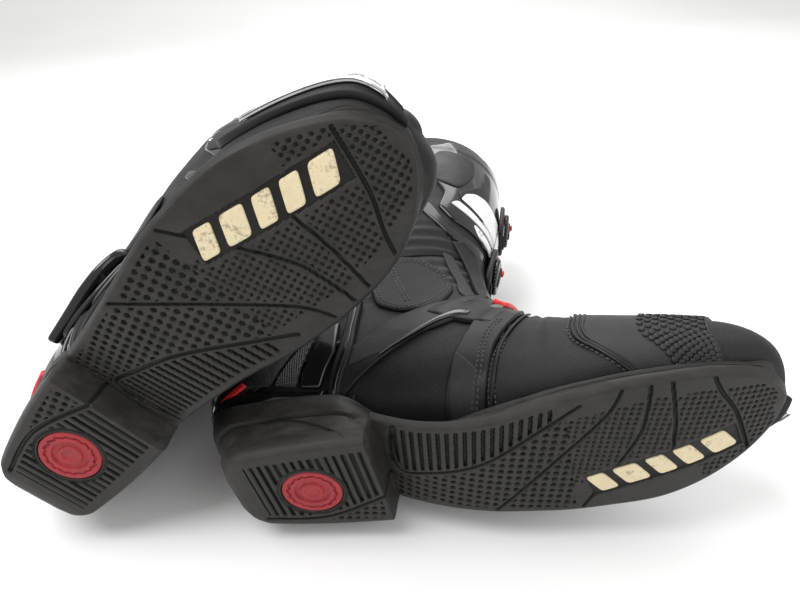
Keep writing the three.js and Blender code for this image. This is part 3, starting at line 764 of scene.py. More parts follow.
def worn():
    """Stud tops polished pale by the shift lever."""
    f = Finish("worn", specular=0.4)
    rub = f.noise(700, 4, 0.7)
    f.bump(rub, 0.0001, 0.6)
    colour = f.shades(rub, (0.3, (0.060, 0.058, 0.055)), (0.6, (0.17, 0.165, 0.155)),
                      (0.85, (0.30, 0.29, 0.27)))
    return f.done(colour, rub.between(0.3, 0.7, 0.45, 0.62))


def scales():
    """Small overlapping diamonds pressed into a satin panel, with painted highlight on the raised parts and
    painted shade in the grooves.
    """
    f = Finish("scales", specular=0.5)
    rows = (f.axis(0) * 2.2 + f.axis(2) * 2.2).sine() * (f.axis(2) * 2.2 - f.axis(0) * 2.2).sine()
    f.bump(rows, 0.0005, 0.9)
    f.bump(f.noise(2400, 2), 0.0001, 0.5)
    # painted highlight and shade: the colour follows the relief, light on the raised diamonds and dark in the
    # grooves
    colour = f.mixed(rows.between(-1, 1), (0.010, 0.010, 0.0102), (0.060, 0.060, 0.060))
    return f.done(colour, rows.between(-1, 1, 0.5, 0.32))


def fine_scales():
    """Rows of fine pips pressed into a gloss panel, with painted highlight on the raised pips."""
    f = Finish("fine_scales", specular=0.45)
    rows = (f.axis(0) * 3.6 + f.axis(2) * 3.6).sine() * (f.axis(2) * 3.6 - f.axis(0) * 3.6).sine()
    f.bump(rows, 0.0003, 0.8)
    f.bump(f.noise(2400, 2), 0.0001, 0.5)
    # painted highlight: the raised pips are coloured lighter than the panel between them
    colour = f.mixed(rows.between(0.2, 1), (0.0085, 0.0085, 0.0088), (0.040, 0.040, 0.040))
    return f.done(colour, rows.between(-1, 1, 0.42, 0.26))


def board():
    """Pressed insole board: grey fibre flecks."""
    f = Finish("board", specular=0.2)
    f.bump(f.noise(1500, 4), 0.0002, 0.6)
    colour = f.shades(f.noise(600, 5, 0.7), (0.3, (0.06, 0.055, 0.05)), (0.7, (0.14, 0.13, 0.12)))
    return f.done(colour, f.noise(200, 2).between(0.3, 0.7, 0.75, 0.9))


FINISHES = {f.__name__: f() for f in (leather, sole_rubber, satin, gloss, chrome, red, disc_red, beige, white,
                                      thread, lining, stretch, mesh_cloth, grip, worn, scales, fine_scales,
                                      board)}


# ---------------------------------------------------------------- one boot
class Boot:
    """The left or right boot: its frame from the record's heel face and ankle hinge, and its pieces."""

    def __init__(self, side):
        self.side = side
        record = frame["record"]
        face = next(m for m in record["mounts"] if m["name"] == side + "_heel_face")
        hinge = next(j for j in frame["joints"] if j["name"] == side + "_ankle_flex")
        up = -unit(np.array(face["axis"], float))
        turn = unit(np.array(hinge["axis"], float))
        ahead = unit(np.cross(turn, up))
        self.axes = np.stack([ahead, turn if side == "left" else -turn, up])
        self.origin = np.array(face["pos_m"], float) - HEEL_FACE_X * ahead

    def world(self, points):
        """Boot millimetres to metres in the row frame."""
        return (points @ self.axes) * MM + self.origin

    def bend(self, thing):
        """Works out the ankle's two ends in place and bakes the piece's placement into its mesh."""
        ankle = self.world(np.array([BEND_LOW, BEND_HIGH]))
        self.side + "_boot"
        self.side + "_cuff"
        tuple(ankle[0])
        tuple(ankle[1])
        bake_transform(thing)
        return thing

    def piece(self, name, shape, finish, body="boot", replaces=(), angle=None):
        """Makes the mesh in place, smooth, with its pattern places, and lets it ride on its body."""
        points = self.world(np.concatenate(shape.points))
        quads = np.concatenate(shape.quads)
        if self.side == "right":
            quads = quads[:, ::-1].copy()
            odd = quads[:, 0] == quads[:, 1]
            quads[odd] = quads[odd][:, [1, 2, 3, 3]]
        three = quads[:, 2] == quads[:, 3]
        mesh = bpy.data.meshes.new(self.side + "_" + name)
        if three.any():
            faces = quads[~three].tolist() + quads[three][:, :3].tolist()
        else:
            faces = quads.tolist()
        mesh.from_pydata(points.tolist(), [], faces)
        mesh.shade_smooth()
        if angle is not None:
            mesh.set_sharp_from_angle(angle=math.radians(angle))
        place = mesh.attributes.new("place", "FLOAT_VECTOR", "POINT")
        place.data.foreach_set("vector", np.concatenate(shape.marks).astype(np.float32).ravel())
        mesh.materials.append(FINISHES[finish])
        thing = bpy.data.objects.new(self.side + "_" + name, mesh)
        bpy.context.scene.collection.objects.link(thing)
        if body:
            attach(thing, self.side + "_" + body)
        if replaces:
            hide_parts(*(self.side + "_" + n for n in replaces))
        return thing

    def keep(self, node, finish):
        """A CAD node whose shape is right takes a finish."""
        thing = frame["nodes"][self.side + "_" + node]
        thing.data.materials.clear()
        thing.data.materials.append(FINISHES[finish])


# ---------------------------------------------------------------- the sole
def plan_edge(x, column):
    """Outer (1) or inner (2) edge of the sole's ground outline at x."""
    return np.interp(x, PLAN_FINE[:, 0], PLAN_FINE[:, column])


PLAN_FINE = curve(SOLE_PLAN, 900)
PLAN_FINE = PLAN_FINE[np.argsort(PLAN_FINE[:, 0])]
HEEL_END, SOLE_TIP = 12.0, 303.5
TREAD_COLUMNS = 132
SOLE_FLARE, FLARE_Z = 1.6, 2.6
# how much wider the heel block is at its top than at the ground, outer side 1 and inner side -1
HEEL_GROWTH = {1: 1.13, -1: 0.98}
HEEL_DISC, DISC_RADIUS = np.array([58.0, 1.5]), 16.6
INLAY_A, INLAY_B, INLAY_WIDE = np.array([205.0, 27.0]), np.array([279.0, 7.0]), 17.0
INLAY_LONG = np.linalg.norm(INLAY_B - INLAY_A)
INLAY_RUN = (INLAY_B - INLAY_A) / INLAY_LONG
GROOVES = [curve(g, 60) for g in (
    [(224, -44), (215, -25), (187, 5), (152, 40)], [(236, -44), (234, -24), (228, -3), (200, 44)],
    [(245, -44), (247, -20), (247, -3), (246, 12), (245, 17)], [(263, -44), (268, -28), (277, -9), (285, 20)],
    [(112, -34), (104, -10), (105, 9), (122, 8), (152, -1), (185, -22), (203, -34)],
                                  [(26, 19), (60, 24), (99, 12)])]
GROOVE_WIDE = [1.3, 1.3, 1.3, 1.3, 1.6, 1.6]
ROOF_X = [0, 60, 120, 172, 206, 236, 290, 306]
ROOF_EDGE_Z = [41, 37, 23, 13, 10, 9, 10, 17]
ROOF_MIDDLE_Z = [42, 38, 23, 13, 10, 9, 10, 16]
# rings of the side wall: share of its height and stand-off, under the foot and then at the heel block
WALL_RINGS = (
    (0.22, 0.35, 0.14, 0.9), (0.30, 0.35, 0.18, 0.0), (0.34, -0.55, 0.30, 0.0), (0.38, -0.55, 0.52, 0.1),
    (0.42, 0.45, 0.545, -1.3), (0.58, 0.5, 0.57, -1.3), (0.70, 0.45, 0.60, 1.0), (0.74, 1.0, 0.68, 1.5),
    (0.80, 1.25, 0.78, 1.6), (0.86, 1.0, 0.88, 1.1), (0.90, 0.1, 0.93, 0.5), (0.94, -0.1, 0.96, 0.1))


def ground_z(x):
    """Height of the tread: heel block bevelled behind, waist raised at the arch, toe sprung."""
    heel = np.interp(x, [12, 14, 18, 23], [5, 2.8, 0.8, 0])
    waist = 17 * np.maximum(0, 1 - np.maximum(x - 97, 0) / 70) ** 2 * ramp(x, 95.5, 98.5)
    return heel + waist + 11 * np.maximum(0, (x - 235) / 66) ** 2


def near_line(x, y, line):
    """Distance from each (x, y) to a line of points."""
    best = np.full(x.shape, 1e9)
    for a, b in zip(line[:-1], line[1:]):
        run = b - a
        t = np.clip(((x - a[0]) * run[0] + (y - a[1]) * run[1]) / (run @ run), 0, 1)
        best = np.minimum(best, np.hypot(x - a[0] - run[0] * t, y - a[1] - run[1] * t))
    return best


def along_inlay(x, y):
    """Distance along and across the inlay's middle line."""
    dx, dy = x - INLAY_A[0], y - INLAY_A[1]
    return dx * INLAY_RUN[0] + dy * INLAY_RUN[1], -dx * INLAY_RUN[1] + dy * INLAY_RUN[0]


def tread(x, y):
    """Depth cut into the sole at (x, y): curved grooves, arch and heel bars, pit fields and recesses."""
    rim = np.minimum(plan_edge(x, 1) - y, y - plan_edge(x, 2))
    rim = np.minimum(rim, np.minimum(x - HEEL_END, SOLE_TIP - 0.5 - x))
    flat = ramp(rim, 3.4, 4.4)
    cut = np.zeros_like(x)
    away = np.full_like(x, 1e9)
    for line, wide in zip(GROOVES, GROOVE_WIDE):
        gap = near_line(x, y, line)
        away = np.minimum(away, gap)
        cut = np.maximum(cut, 1.6 * (1 - ramp(gap, wide * 0.45, wide * 0.85)) * ramp(rim, 1.0, 2.2))
    arch = np.interp(x, GROOVES[4][20:, 0], GROOVES[4][20:, 1])
    in_arch = (x > 106) & (x < 190) & (y < arch - 2.4)
    bars = 0.5 + 0.5 * np.cos((x + 0.16 * y) * 2 * math.pi / 4.6)
    cut = np.maximum(cut, np.where(in_arch, 1.9 * ramp(bars, 0.55, 0.8), 0) * flat)
    disc = np.hypot(x - HEEL_DISC[0], y - HEEL_DISC[1])
    heel_line = np.interp(x, GROOVES[5][:, 0], GROOVES[5][:, 1])
    in_heel = (x > 28) & (x < 93) & (y > -25) & (y < heel_line - 3.0) & (disc > DISC_RADIUS + 3.2)
    bars = 0.5 + 0.5 * np.cos(x * 2 * math.pi / 4.6)
    cut = np.maximum(cut, np.where(in_heel, 1.8 * ramp(bars, 0.5, 0.78), 0) * flat)
    cut = np.maximum(cut, 1.0 * (1 - ramp(np.abs(disc - DISC_RADIUS - 2.2), 0.5, 1.1)))
    cut = np.where(disc < DISC_RADIUS + 0.4, 2.4, cut)
    along, across = along_inlay(x, y)
    inlay = np.maximum(np.maximum(-along, along - INLAY_LONG), np.abs(across) - INLAY_WIDE / 2)
    clear = ramp(away, 1.6, 2.4) * flat * ramp(inlay, 2.0, 2.8)

    def pits(pitch, slant):
        """Share of full depth in a slanted field of round pits."""
        u = (x + slant * y) * 2 * math.pi / pitch
        w = (y - slant * x) * 2 * math.pi / pitch
        return ramp(0.5 + 0.25 * np.cos(u) + 0.25 * np.cos(w), 0.56, 0.74)

    waist = ((x > 100) & (x < 196) & (y > arch + 2.5)) | ((x > 22) & (x < 93) & (y > heel_line + 2.5))
    cut = np.maximum(cut, np.where(waist, 1.5, 0) * pits(4.9, 0.25) * clear)
    middle = (x > 168) & (x < 297) & ~waist & ~in_arch & ((y < 24) | (x > 262)) \
        & (y > np.interp(x, [168, 200, 240, 262, 297], [-8, -26, -32, -30, -22]))
    cut = np.maximum(cut, np.where(middle, 1.1, 0) * pits(3.5, 0.25) * clear)
    return np.where(inlay < 0.4, 1.0, cut)


def wall_height(x):
    """Height at which the sole's side wall meets the boot."""
    return np.interp(x, [12, 20, 32, 55, 75, 96, 118, 143, 179, 212, 242, 282, 299, 306],
                     [46, 45, 43.5, 41.5, 39, 33, 25.5, 22, 18.5, 16.5, 15.5, 15, 17, 19.5])


def tread_grid():
    """Places (x, y) of the tread's height field, closer together towards its rims."""
    heel_end = HEEL_END + 8 * (1 - np.cos(np.linspace(0, math.pi / 2, 18)))
    toe_end = SOLE_TIP - 10 * (1 - np.cos(np.linspace(math.pi / 2, 0, 16)))
    x = np.concatenate([heel_end, np.arange(20.5, 293.2, 0.56), toe_end])
    swell = np.cos(np.linspace(0, math.pi, TREAD_COLUMNS)) * 0.35
    b = 0.5 - 0.5 * swell + (np.linspace(0, 1, TREAD_COLUMNS) - 0.5) * 0.65
    b = (b - b[0]) / (b[-1] - b[0])
    gx = np.repeat(x[:, None], TREAD_COLUMNS, 1)
    return gx, plan_edge(gx, 2) + (plan_edge(gx, 1) - plan_edge(gx, 2)) * b[None, :]


def wall_top(bx, by, middle_y):
    """Top line of the side wall: on the skin along the foot, on the block's own line round the heel."""
    side = np.where(by > middle_y, 1.0, -1.0)
    high = wall_height(bx)
    top = np.zeros((len(bx), 3))
    for way in (1, -1):
        pick = side == way
        x, y, z = bx[pick], by[pick], high[pick]
        held = np.clip(x, 20, 299)
        sv = find(np.stack([held, wall_height(held)], -1), way)
        on_skin = lifted(sv[:, 0], sv[:, 1], 1.2)
        back = 21 * np.clip(1 - (x - HEEL_END) / 50, 0, 1) ** 1.4
        heel = np.stack([x - back, y * HEEL_GROWTH[way], z], -1)
        share = ramp(x, 78, 112)[:, None]
        mixed = on_skin * share + heel * (1 - share)
        tip = ramp(x, 292, 301)[:, None]
        nose = np.stack([x + 1.5, middle_y[pick] + (y - middle_y[pick]) * 1.05, z + 1], -1)
        top[pick] = mixed * (1 - tip) + nose * tip
    for _ in range(6):
        top = (np.roll(top, 1, 0) + 2 * top + np.roll(top, -1, 0)) / 4
    return top


def outsole():
    """Tread height field, then rings round its border: rounded edge, wall, welt ridge, lip and roof."""
    gx, gy = tread_grid()
    rim = np.minimum(np.minimum(plan_edge(gx, 1) - gy, gy - plan_edge(gx, 2)),
                     np.minimum(gx - HEEL_END, SOLE_TIP - gx))
    deep = tread(gx, gy)
    gz = ground_z(gx) + deep + 1.1 * (1 - rounded_wall(np.maximum(rim, 0), 2.2))
    n, m = gx.shape
    number = np.arange(n * m).reshape(n, m)
    field = np.stack([gx, gy, gz], -1)
    border = np.concatenate([number[:-1, -1], number[-1, ::-1][:-1], number[::-1, 0][:-1], number[0, :-1]])
    rimline = field.reshape(-1, 3)[border]
    bx, by = rimline[:, 0], rimline[:, 1]
    middle_y = 0.5 * (plan_edge(bx, 1) + plan_edge(bx, 2))
    top = wall_top(bx, by, middle_y)
    outside = unit(np.stack([-(np.roll(by, -1) - np.roll(by, 1)), np.roll(bx, -1) - np.roll(bx, 1),
                             np.zeros_like(bx)], -1))
    centre = np.stack([np.clip(bx, 20, 270), middle_y, np.zeros_like(bx)], -1)
    outside *= np.sign((outside * (rimline - centre)).sum(-1, keepdims=True) + 1e-9)
    low = rimline + outside * 0.9 + [0, 0, 0.9]
    wide = rimline + outside * SOLE_FLARE + [0, 0, FLARE_Z]
    rings = [low, wide]
    block = 1 - ramp(bx, 84, 102)[:, None]
    for t, out, heel_t, heel_out in WALL_RINGS:
        t = t * (1 - block) + heel_t * block
        out = out * (1 - block) + heel_out * block
        rings.append(wide * (1 - t) + top * t + outside * out)
    rings.append(top + outside * 0.3)
    rings.append(top + outside * -0.8 + [0, 0, 0.5])
    spine = np.stack([np.clip(bx, 12, 292), middle_y, top[:, 2]], -1)
    inner = top + (spine - top) * 0.10
    inner[:, 2] = top[:, 2] - 1.0
    rings.append(inner)
    roof = top + (spine - top) * 0.55
    roof[:, 2] = np.minimum(np.interp(roof[:, 0], ROOF_X, ROOF_EDGE_Z), top[:, 2] - 2)
    rings.append(roof)
    spine[:, 2] = np.interp(spine[:, 0], ROOF_X, ROOF_MIDDLE_Z)
    rings.append(spine)
    rows = np.array(rings)
    k, w = rows.shape[:2]
    wall = np.arange(k * w).reshape(k, w) + n * m
    walls = cells(np.concatenate([border[None], wall]), wrap_v=True)
    last, turn = wall[-1], np.roll(np.arange(w), -1)
    hub = n * m + k * w
    cap = np.stack([np.full(w, hub), last, last[turn], last[turn]], -1)
    points = np.concatenate([field.reshape(-1, 3), rows.reshape(-1, 3), [[150, 0, 16.0]]])
    number_quads = cells(number)
    probe = np.cross(points[walls[:, 1]] - points[walls[:, 0]], points[walls[:, 3]] - points[walls[:, 0]])
    if (probe * np.repeat(outside[None], k, 0).reshape(-1, 3)[:len(probe)]).sum() < 0:
        walls = walls[:, ::-1]
        cap = cap[:, [0, 2, 1, 1]]
    across = np.cross(points[number_quads[:, 1]] - points[number_quads[:, 0]],
                      points[number_quads[:, 3]] - points[number_quads[:, 0]])
    if across[:, 2].sum() > 0:
        number_quads = number_quads[:, ::-1]
    shape = Shape()
    marks = points * [1, 1, 0]
    # the tread's cut depth rides in the third place axis, where the sole rubber darkens it as painted shade in the
    # cuts
    marks[:n * m, 2] = deep.ravel()
    shape.points, shape.marks = [points], [marks]
    shape.quads, shape.count = [np.concatenate([number_quads, walls, cap])], len(points)
    return shape


def heel_arcs():
    """A raised arc on each side of the heel block, from its rear upper corner down to the breast."""
    shape = Shape()
    path = curve(np.array([(33, 24.5), (45, 24.5), (61, 20), (78, 11), (86, 4.5)]), 50)
    x, z = path[:, 0], path[:, 1]
    t = (z - FLARE_Z) / 41
    radius = np.interp(np.linspace(0, 1, 50), [0, .2, .8, 1], [.3, 1.0, 1.0, .3])
    for way, column in ((1, 1), (-1, 2)):
        edge = plan_edge(x, column)
        y = (edge + SOLE_FLARE * way) * (1 - t) + edge * HEEL_GROWTH[way] * t
        cord_tube(shape, np.stack([x, y, z], -1), radius, 8, 0.6)
    return shape


def inlay_bars():
    """Five slanted bars with rounded ends and a ground-down face, in the inlay's recess."""
    shape = Shape()
    over = np.array([-INLAY_RUN[1], INLAY_RUN[0]])
    turn = full_turn(48)
    for start, wide in ((1.5, 9.5), (15.5, 12.5), (32.5, 9.5), (46.5, 9.5), (60.5, 12.5)):
        across = 7.2 * boxed(np.sin(turn), 0.28)
        along = start + wide / 2 + wide / 2 * boxed(np.cos(turn), 0.28) + across * 0.32
        rows = []
        for share, rise in ((0.96, 2.2), (1.0, 1.2), (1.0, 0.45), (0.95, 0.05), (0.85, 0.0), (0.5, 0.0),
                            (0.1, 0.0)):
            a = start + wide / 2 + (along - start - wide / 2) * share
            c = across * share
            x = INLAY_A[0] + INLAY_RUN[0] * a + over[0] * c
            y = INLAY_A[1] + INLAY_RUN[1] * a + over[1] * c
            rows.append(np.stack([x, y, ground_z(x) + 0.1 + rise], -1))
        shape.tube(np.array(rows))
    return shape


def heel_disc():
    """Round disc with a saw-edged raised ring and a domed hub, turned about its own centre."""
    teeth, columns = 16, 120
    share = [1, 1, 0.985, 0.95, 0.80, 0.77, 0.72, 0.70, 0.60, 0.57, 0.40, 0.36, 0.28, 0.24, 0.12, 0.03]
    depth = [2.8, 0.7, 0.35, 0.2, 0.2, 1.2, 1.2, 0.3, 0.2, 1.3, 1.3, 0.3, 0.2, 0.9, 1.0, 1.0]
    radius = (np.array(share) * DISC_RADIUS)[:, None]
    turn = full_turn(columns)
    tooth = 0.35 * ((turn * teeth / (2 * math.pi)) % 1)
    rows = np.stack([HEEL_DISC[0] + radius * np.cos(turn), HEEL_DISC[1] + radius * np.sin(turn),
                     np.repeat(np.array(depth)[:, None], columns, 1)], -1)
    for k in (4, 5, 6, 7):
        rows[k, :, :2] = HEEL_DISC + (rows[k, :, :2] - HEEL_DISC) * (1 + tooth[:, None] * 0.28)
    shape = Shape()
    shape.tube(rows)
    return shape


# ---------------------------------------------------------------- soft parts of the boot
def soft_shell(s_rows, columns, outer, inner):
    """Hollow wall round the boot from the first station to the last: outer and inner give lifts (s, v)."""
    v = np.linspace(-math.pi, math.pi, columns, endpoint=False)
    s, w = np.meshgrid(s_rows, v, indexing="ij")
    out = lifted(s, w, outer(s, w))
    s2, w2 = s[::-3], w[::-3]
    if not np.allclose(s2[-1], s[0]):
        s2, w2 = np.concatenate([s2, s[:1]]), np.concatenate([w2, w[:1]])
    inside = lifted(s2, w2, inner(s2, w2))
    return out, inside


def crease(s, v, at_s, at_v, long_s, long_v, deep, slant=0.0):
    """One soft fold: a valley with a low swell beside it."""
    u = (s - at_s) + slant * (v - at_v)
    fade = np.exp(-((v - at_v) / long_v) ** 2)
    return fade * deep * (-np.exp(-(u / long_s) ** 2) + 0.45 * np.exp(-((u - 1.9 * long_s) / long_s) ** 2)
                          + 0.45 * np.exp(-((u + 1.9 * long_s) / long_s) ** 2))


def upper_relief(s, v):
    """Foot leather: instep creases, a soft hollow behind the toe pad, slight unevenness."""
    p = skin(s, v)
    rise = 0.35 * ripple(p, 46, 0.4) + 0.12 * ripple(p, 17, 2.1)
    for at_s, at_v, long_v, deep, slant in ((5.5, -0.5, 0.9, 0.9, 0.10), (5.9, -0.2, 0.9, 0.8, -0.15),
                                            (5.25, 0.1, 0.8, 0.7, 0.05), (4.95, -0.35, 0.6, .5, .2),
                                            (6.25, 0.35, 0.8, 0.7, 0.12), (5.7, 0.9, 0.6, 0.8, -0.2),
                                            (4.3, -1.35, 0.28, 0.6, 0.5), (4.05, -1.55, 0.25, 0.5, 0.6)):
        rise = rise + crease(s, v, at_s, at_v, 0.09, long_v, deep, slant)
    seam = np.abs(s - (6.28 + 0.04 * np.cos(v)))
    rise = rise - 0.5 * np.exp(-(seam / 0.03) ** 2) + 0.35 * ramp(s, 6.3, 6.36) * (1 - ramp(s, 6.7, 7.2))
    return rise


def foot_upper():
    """Hollow shell of the foot: closed round the toe and open towards the ankle."""
    s_rows = np.concatenate([np.linspace(0, 1, 14)[:-1], np.linspace(1, 9.62, 175)])
    columns = 208
    out, inside = soft_shell(s_rows, columns, lambda s, v: upper_relief(s, v) * ramp(s, 0, 0.8) - 0.1,
                             lambda s, v: np.full(s.shape, -4.0) + 2.0 * (1 - ramp(s, 0.2, 1.2)))
    hub = out[:1].mean(1, keepdims=True)
    nose = [hub + (out[:1] - hub) * share + np.array([push, 0, 0]) for share, push in
            ((0.1, 2.6), (0.35, 2.4), (0.62, 1.8), (0.85, 0.9))]
    pit = inside[-1:].mean(1, keepdims=True)
    well = [pit + (inside[-1:] - pit) * share for share in (0.6, 0.15)]
    shape = Shape()
    shape.tube(np.concatenate([*nose, out, inside, *well]))
    return shape


def cuff_shell(s_low, s_high, rows, columns, outer, inner):
    """Hollow ring of the boot between two stations."""
    out, inside = soft_shell(np.linspace(s_low, s_high, rows), columns, outer, inner)
    shape = Shape()
    shape.ring(np.concatenate([out, inside]))
    return shape


def shaft_relief(s, v):
    """Shaft leather: folds above the ankle, a swell over the calf, softer towards the collar."""
    p = skin(s, v)
    rise = 0.6 * ripple(p, 60, 1.2) + 0.2 * ripple(p, 22, 3.0)
    for at_s, at_v, long_s, long_v, deep, slant in (
            (12.25, -1.1, 0.10, 0.7, 1.1, 0.22), (12.65, -1.0, 0.11, 0.6, 0.9, 0.05),
            (12.05, 1.2, 0.07, 0.8, 1.4, -0.2), (12.9, -1.5, 0.09, 0.6, 1.2, -0.25),
            (13.3, -1.7, 0.10, 0.5, 1.0, 0.3), (12.5, 1.5, 0.08, 0.7, 1.2, 0.1),
            (13.9, -1.6, 0.12, 0.5, 0.8, -0.2), (12.35, 0.1, 0.07, 0.8, 1.2, 0.0)):
        rise = rise + crease(s, v, at_s, at_v, long_s, long_v, deep, slant)
    return rise


def shaft_outside(s, v):
    """Lift of the shaft's outside: its folds, faded in above the gaiter, and a rounded lower edge."""
    edge = 1.2 * np.sin(np.clip((s - SHAFT_LOW) / 0.25, 0, 1) * math.pi / 2)
    return shaft_relief(s, v) * ramp(s, SHAFT_LOW, GAITER[1]) - 0.1 + edge


def collar_swell(s):
    """0 at the collar's two edges and 1 half way between them."""
    return np.sin((s - COLLAR_LOW) / COLLAR_LONG * math.pi)


def gaiter_relief(s, v):
    """Ankle fabric: three soft pleats, fullest at the back of the ankle."""
    return -1.2 + 0.9 * np.cos((s - 9.7) * math.pi * 3.2) * (0.45 + 0.3 * np.abs(np.cos(v))) \
        + 0.25 * ripple(skin(s, v), 24, 0.7)


# ---------------------------------------------------------------- panels, straps and hardware
def angled(rows):
    """Rows of (station, degrees) as (station, radians)."""
    rows = np.array(rows, float)
    return rows * [1, math.pi / 180]


def skin_line(rows, count):
    """A smooth line on the skin through (station, degrees) points."""
    return curve(angled(rows), count)


def side_line(points, side, count=60):
    """A smooth line on the skin through side-view points (x, z)."""
    return find(curve(np.array(points, float), count), side)


def rounded_outline(points, count=140, corner=0.16):
    """Closed outline through straight-sided corners, each corner rounded by a share of its sides."""
    points = np.array(points, float)
    ahead, behind = np.roll(points, -1, 0), np.roll(points, 1, 0)
    t = np.linspace(0, 1, 9)[:, None]
    pieces = []
    for p, a, b in zip(points, ahead, behind):
        start, end = p + (b - p) * corner, p + (a - p) * corner
        pieces.append((1 - t) ** 2 * start + 2 * t * (1 - t) * p + t ** 2 * end)
    ring = np.concatenate(pieces)
    ring = np.concatenate([ring, ring[:1]])
    far = run_length(ring)
    even = np.linspace(0, far[-1], count, endpoint=False)
    return np.stack([np.interp(even, far, ring[:, k]) for k in range(2)], -1)


def side_outline(points, side, corner):
    """Closed outline on the skin through side-view corners (x, z), each of them rounded."""
    return find(rounded_outline(points, corner=corner), side)


def between(first, second):
    """Place function of a strip whose rims follow two lines of (s, v): a runs along, b across."""
    first, second = np.asarray(first), np.asarray(second)
    t = np.linspace(0, 1, len(first))

    def place(a, b):
        a, b = np.broadcast_arrays(a, b)
        return tuple(np.interp(a, t, first[:, k]) * (1 - b)
                     + np.interp(a, t, second[:, k]) * b for k in range(2))
    return place


def toe_pad(boot):
    """Shift pad over the toes: its sheet, piping, six-sided studs, and the seams of the foot."""
    rear = angled([(4.10, -138), (4.18, -134), (4.60, -113), (4.98, -86), (4.88, -60), (4.80, -20),
                   (4.85, 12), (4.7, 34)])
    front = angled([(2.66, -138), (2.66, -132), (2.64, -112), (2.66, -84), (2.42, -52), (2.05, -22),
                    (1.95, 10), (2.0, 34)])
    rear, front = curve(rear, 90), curve(front, 90)
    shape = Shape()

    def relief(s, v, a, b, flat):
        return 0.18 * ripple(flat, 24, 1.4) * np.sin(b * math.pi)
    slab(shape, between(rear, front), -0.3, 1.5, 1.0, (110, 60), relief)
    boot.piece("toe_pad", shape, "grip", replaces=("toe_pad",))
    beads = Shape()
    for share in (0.015, 0.052, 0.089):
        line = rear * (1 - share) + front * share
        bead(beads, line[3:], 1.35, 0.85)
    bead(beads, rear * 0.02 + front * 0.98, 1.3, 0.9)
    low = np.stack([np.linspace(4.18, 2.66, 40), np.radians(np.linspace(-135, -133, 40))], -1)
    bead(beads, low, 1.2, 0.7)
    boot.piece("toe_piping", beads, "satin")
    rows = []
    for i, share in enumerate(np.linspace(0.50, 0.945, 9)):
        for along in np.linspace(0.07, 0.70, 17):
            along = along + (0.019 if i % 2 else 0)
            rows.append([np.interp(along, np.linspace(0, 1, 90), rear[:, k]) * (1 - share)
                         + np.interp(along, np.linspace(0, 1, 90), front[:, k]) * share for k in range(2)]
                        + [along])
    rows = np.array(rows)
    low = rows[:, 2] < 0.14
    studs, pale = Shape(), Shape()
    hexes(studs, rows[~low, 0], rows[~low, 1], 1.1, 1.75, 1.0)
    hexes(pale, rows[low, 0], rows[low, 1], 1.1, 1.75, 1.0)
    boot.piece("toe_studs", studs, "grip")
    boot.piece("toe_worn_studs", pale, "worn")
    seam = Shape()
    line = np.stack([rear[:, 0] + 0.05, rear[:, 1]], -1)
    stitches(seam, line, 0.45)
    rear_seam = angled([(6.20, -150), (6.22, -112), (6.16, -78), (6.2, -40), (6.25, 0), (6.25, 60),
                        (6.25, 110), (6.25, 150)])
    rear_seam = curve(rear_seam, 160)
    stitches(seam, rear_seam, 0.25)
    stitches(seam, rear_seam + [0.075, 0], 0.25)
    boot.piece("foot_stitches", seam, "thread")


def toe_slider(boot):
    """Wear plate at the outer side of the toe: plastic mount, dished metal plate and its two rims."""
    low = skin_line([(4.15, 84), (3.7, 100), (3.0, 108), (2.2, 116), (1.4, 128), (0.9, 150), (0.78, 178)], 80)
    high = skin_line([(4.15, 70), (3.7, 57), (3.0, 50), (2.2, 52), (1.4, 60), (0.75, 92), (0.45, 150)], 80)
    shape = Shape()

    def relief(s, v, a, b, flat):
        return 0.9 * ramp(b, 0.55, 0.8) * ramp(a, 0.08, 0.3)
    slab(shape, between(low, high), -0.4, 4.2, 2.0, (90, 22), relief)
    boot.piece("toe_slider_base", shape, "satin", replaces=("toe_slider_base",))
    low = skin_line([(3.52, 88), (3.2, 91), (2.6, 94), (2.0, 99), (1.4, 107), (0.98, 126), (0.9, 140)], 90)
    high = skin_line([(3.60, 74), (3.3, 66), (2.6, 64), (2.0, 67), (1.4, 76), (0.88, 104), (0.80, 124)], 90)
    shape = Shape()

    def dish(s, v, a, b, flat):
        hollow = np.sin(np.clip((b - .12) / .76, 0, 1) * math.pi) ** 0.7
        return -1.1 * hollow * ramp(a, 0.02, 0.1) * (1 - ramp(a, .93, .99))
    slab(shape, between(low, high), 4.2, 2.0, 0.9, (110, 30), dish)
    boot.piece("toe_slider", shape, "chrome", replaces=("toe_slider",))
    rims = Shape()
    bead(rims, low * 0.96 + high * 0.04, 6.0, 0.8, flatten=0.8)
    bead(rims, low * 0.04 + high * 0.96, 6.0, 0.8, flatten=0.8)
    boot.piece("toe_slider_rims", rims, "chrome")


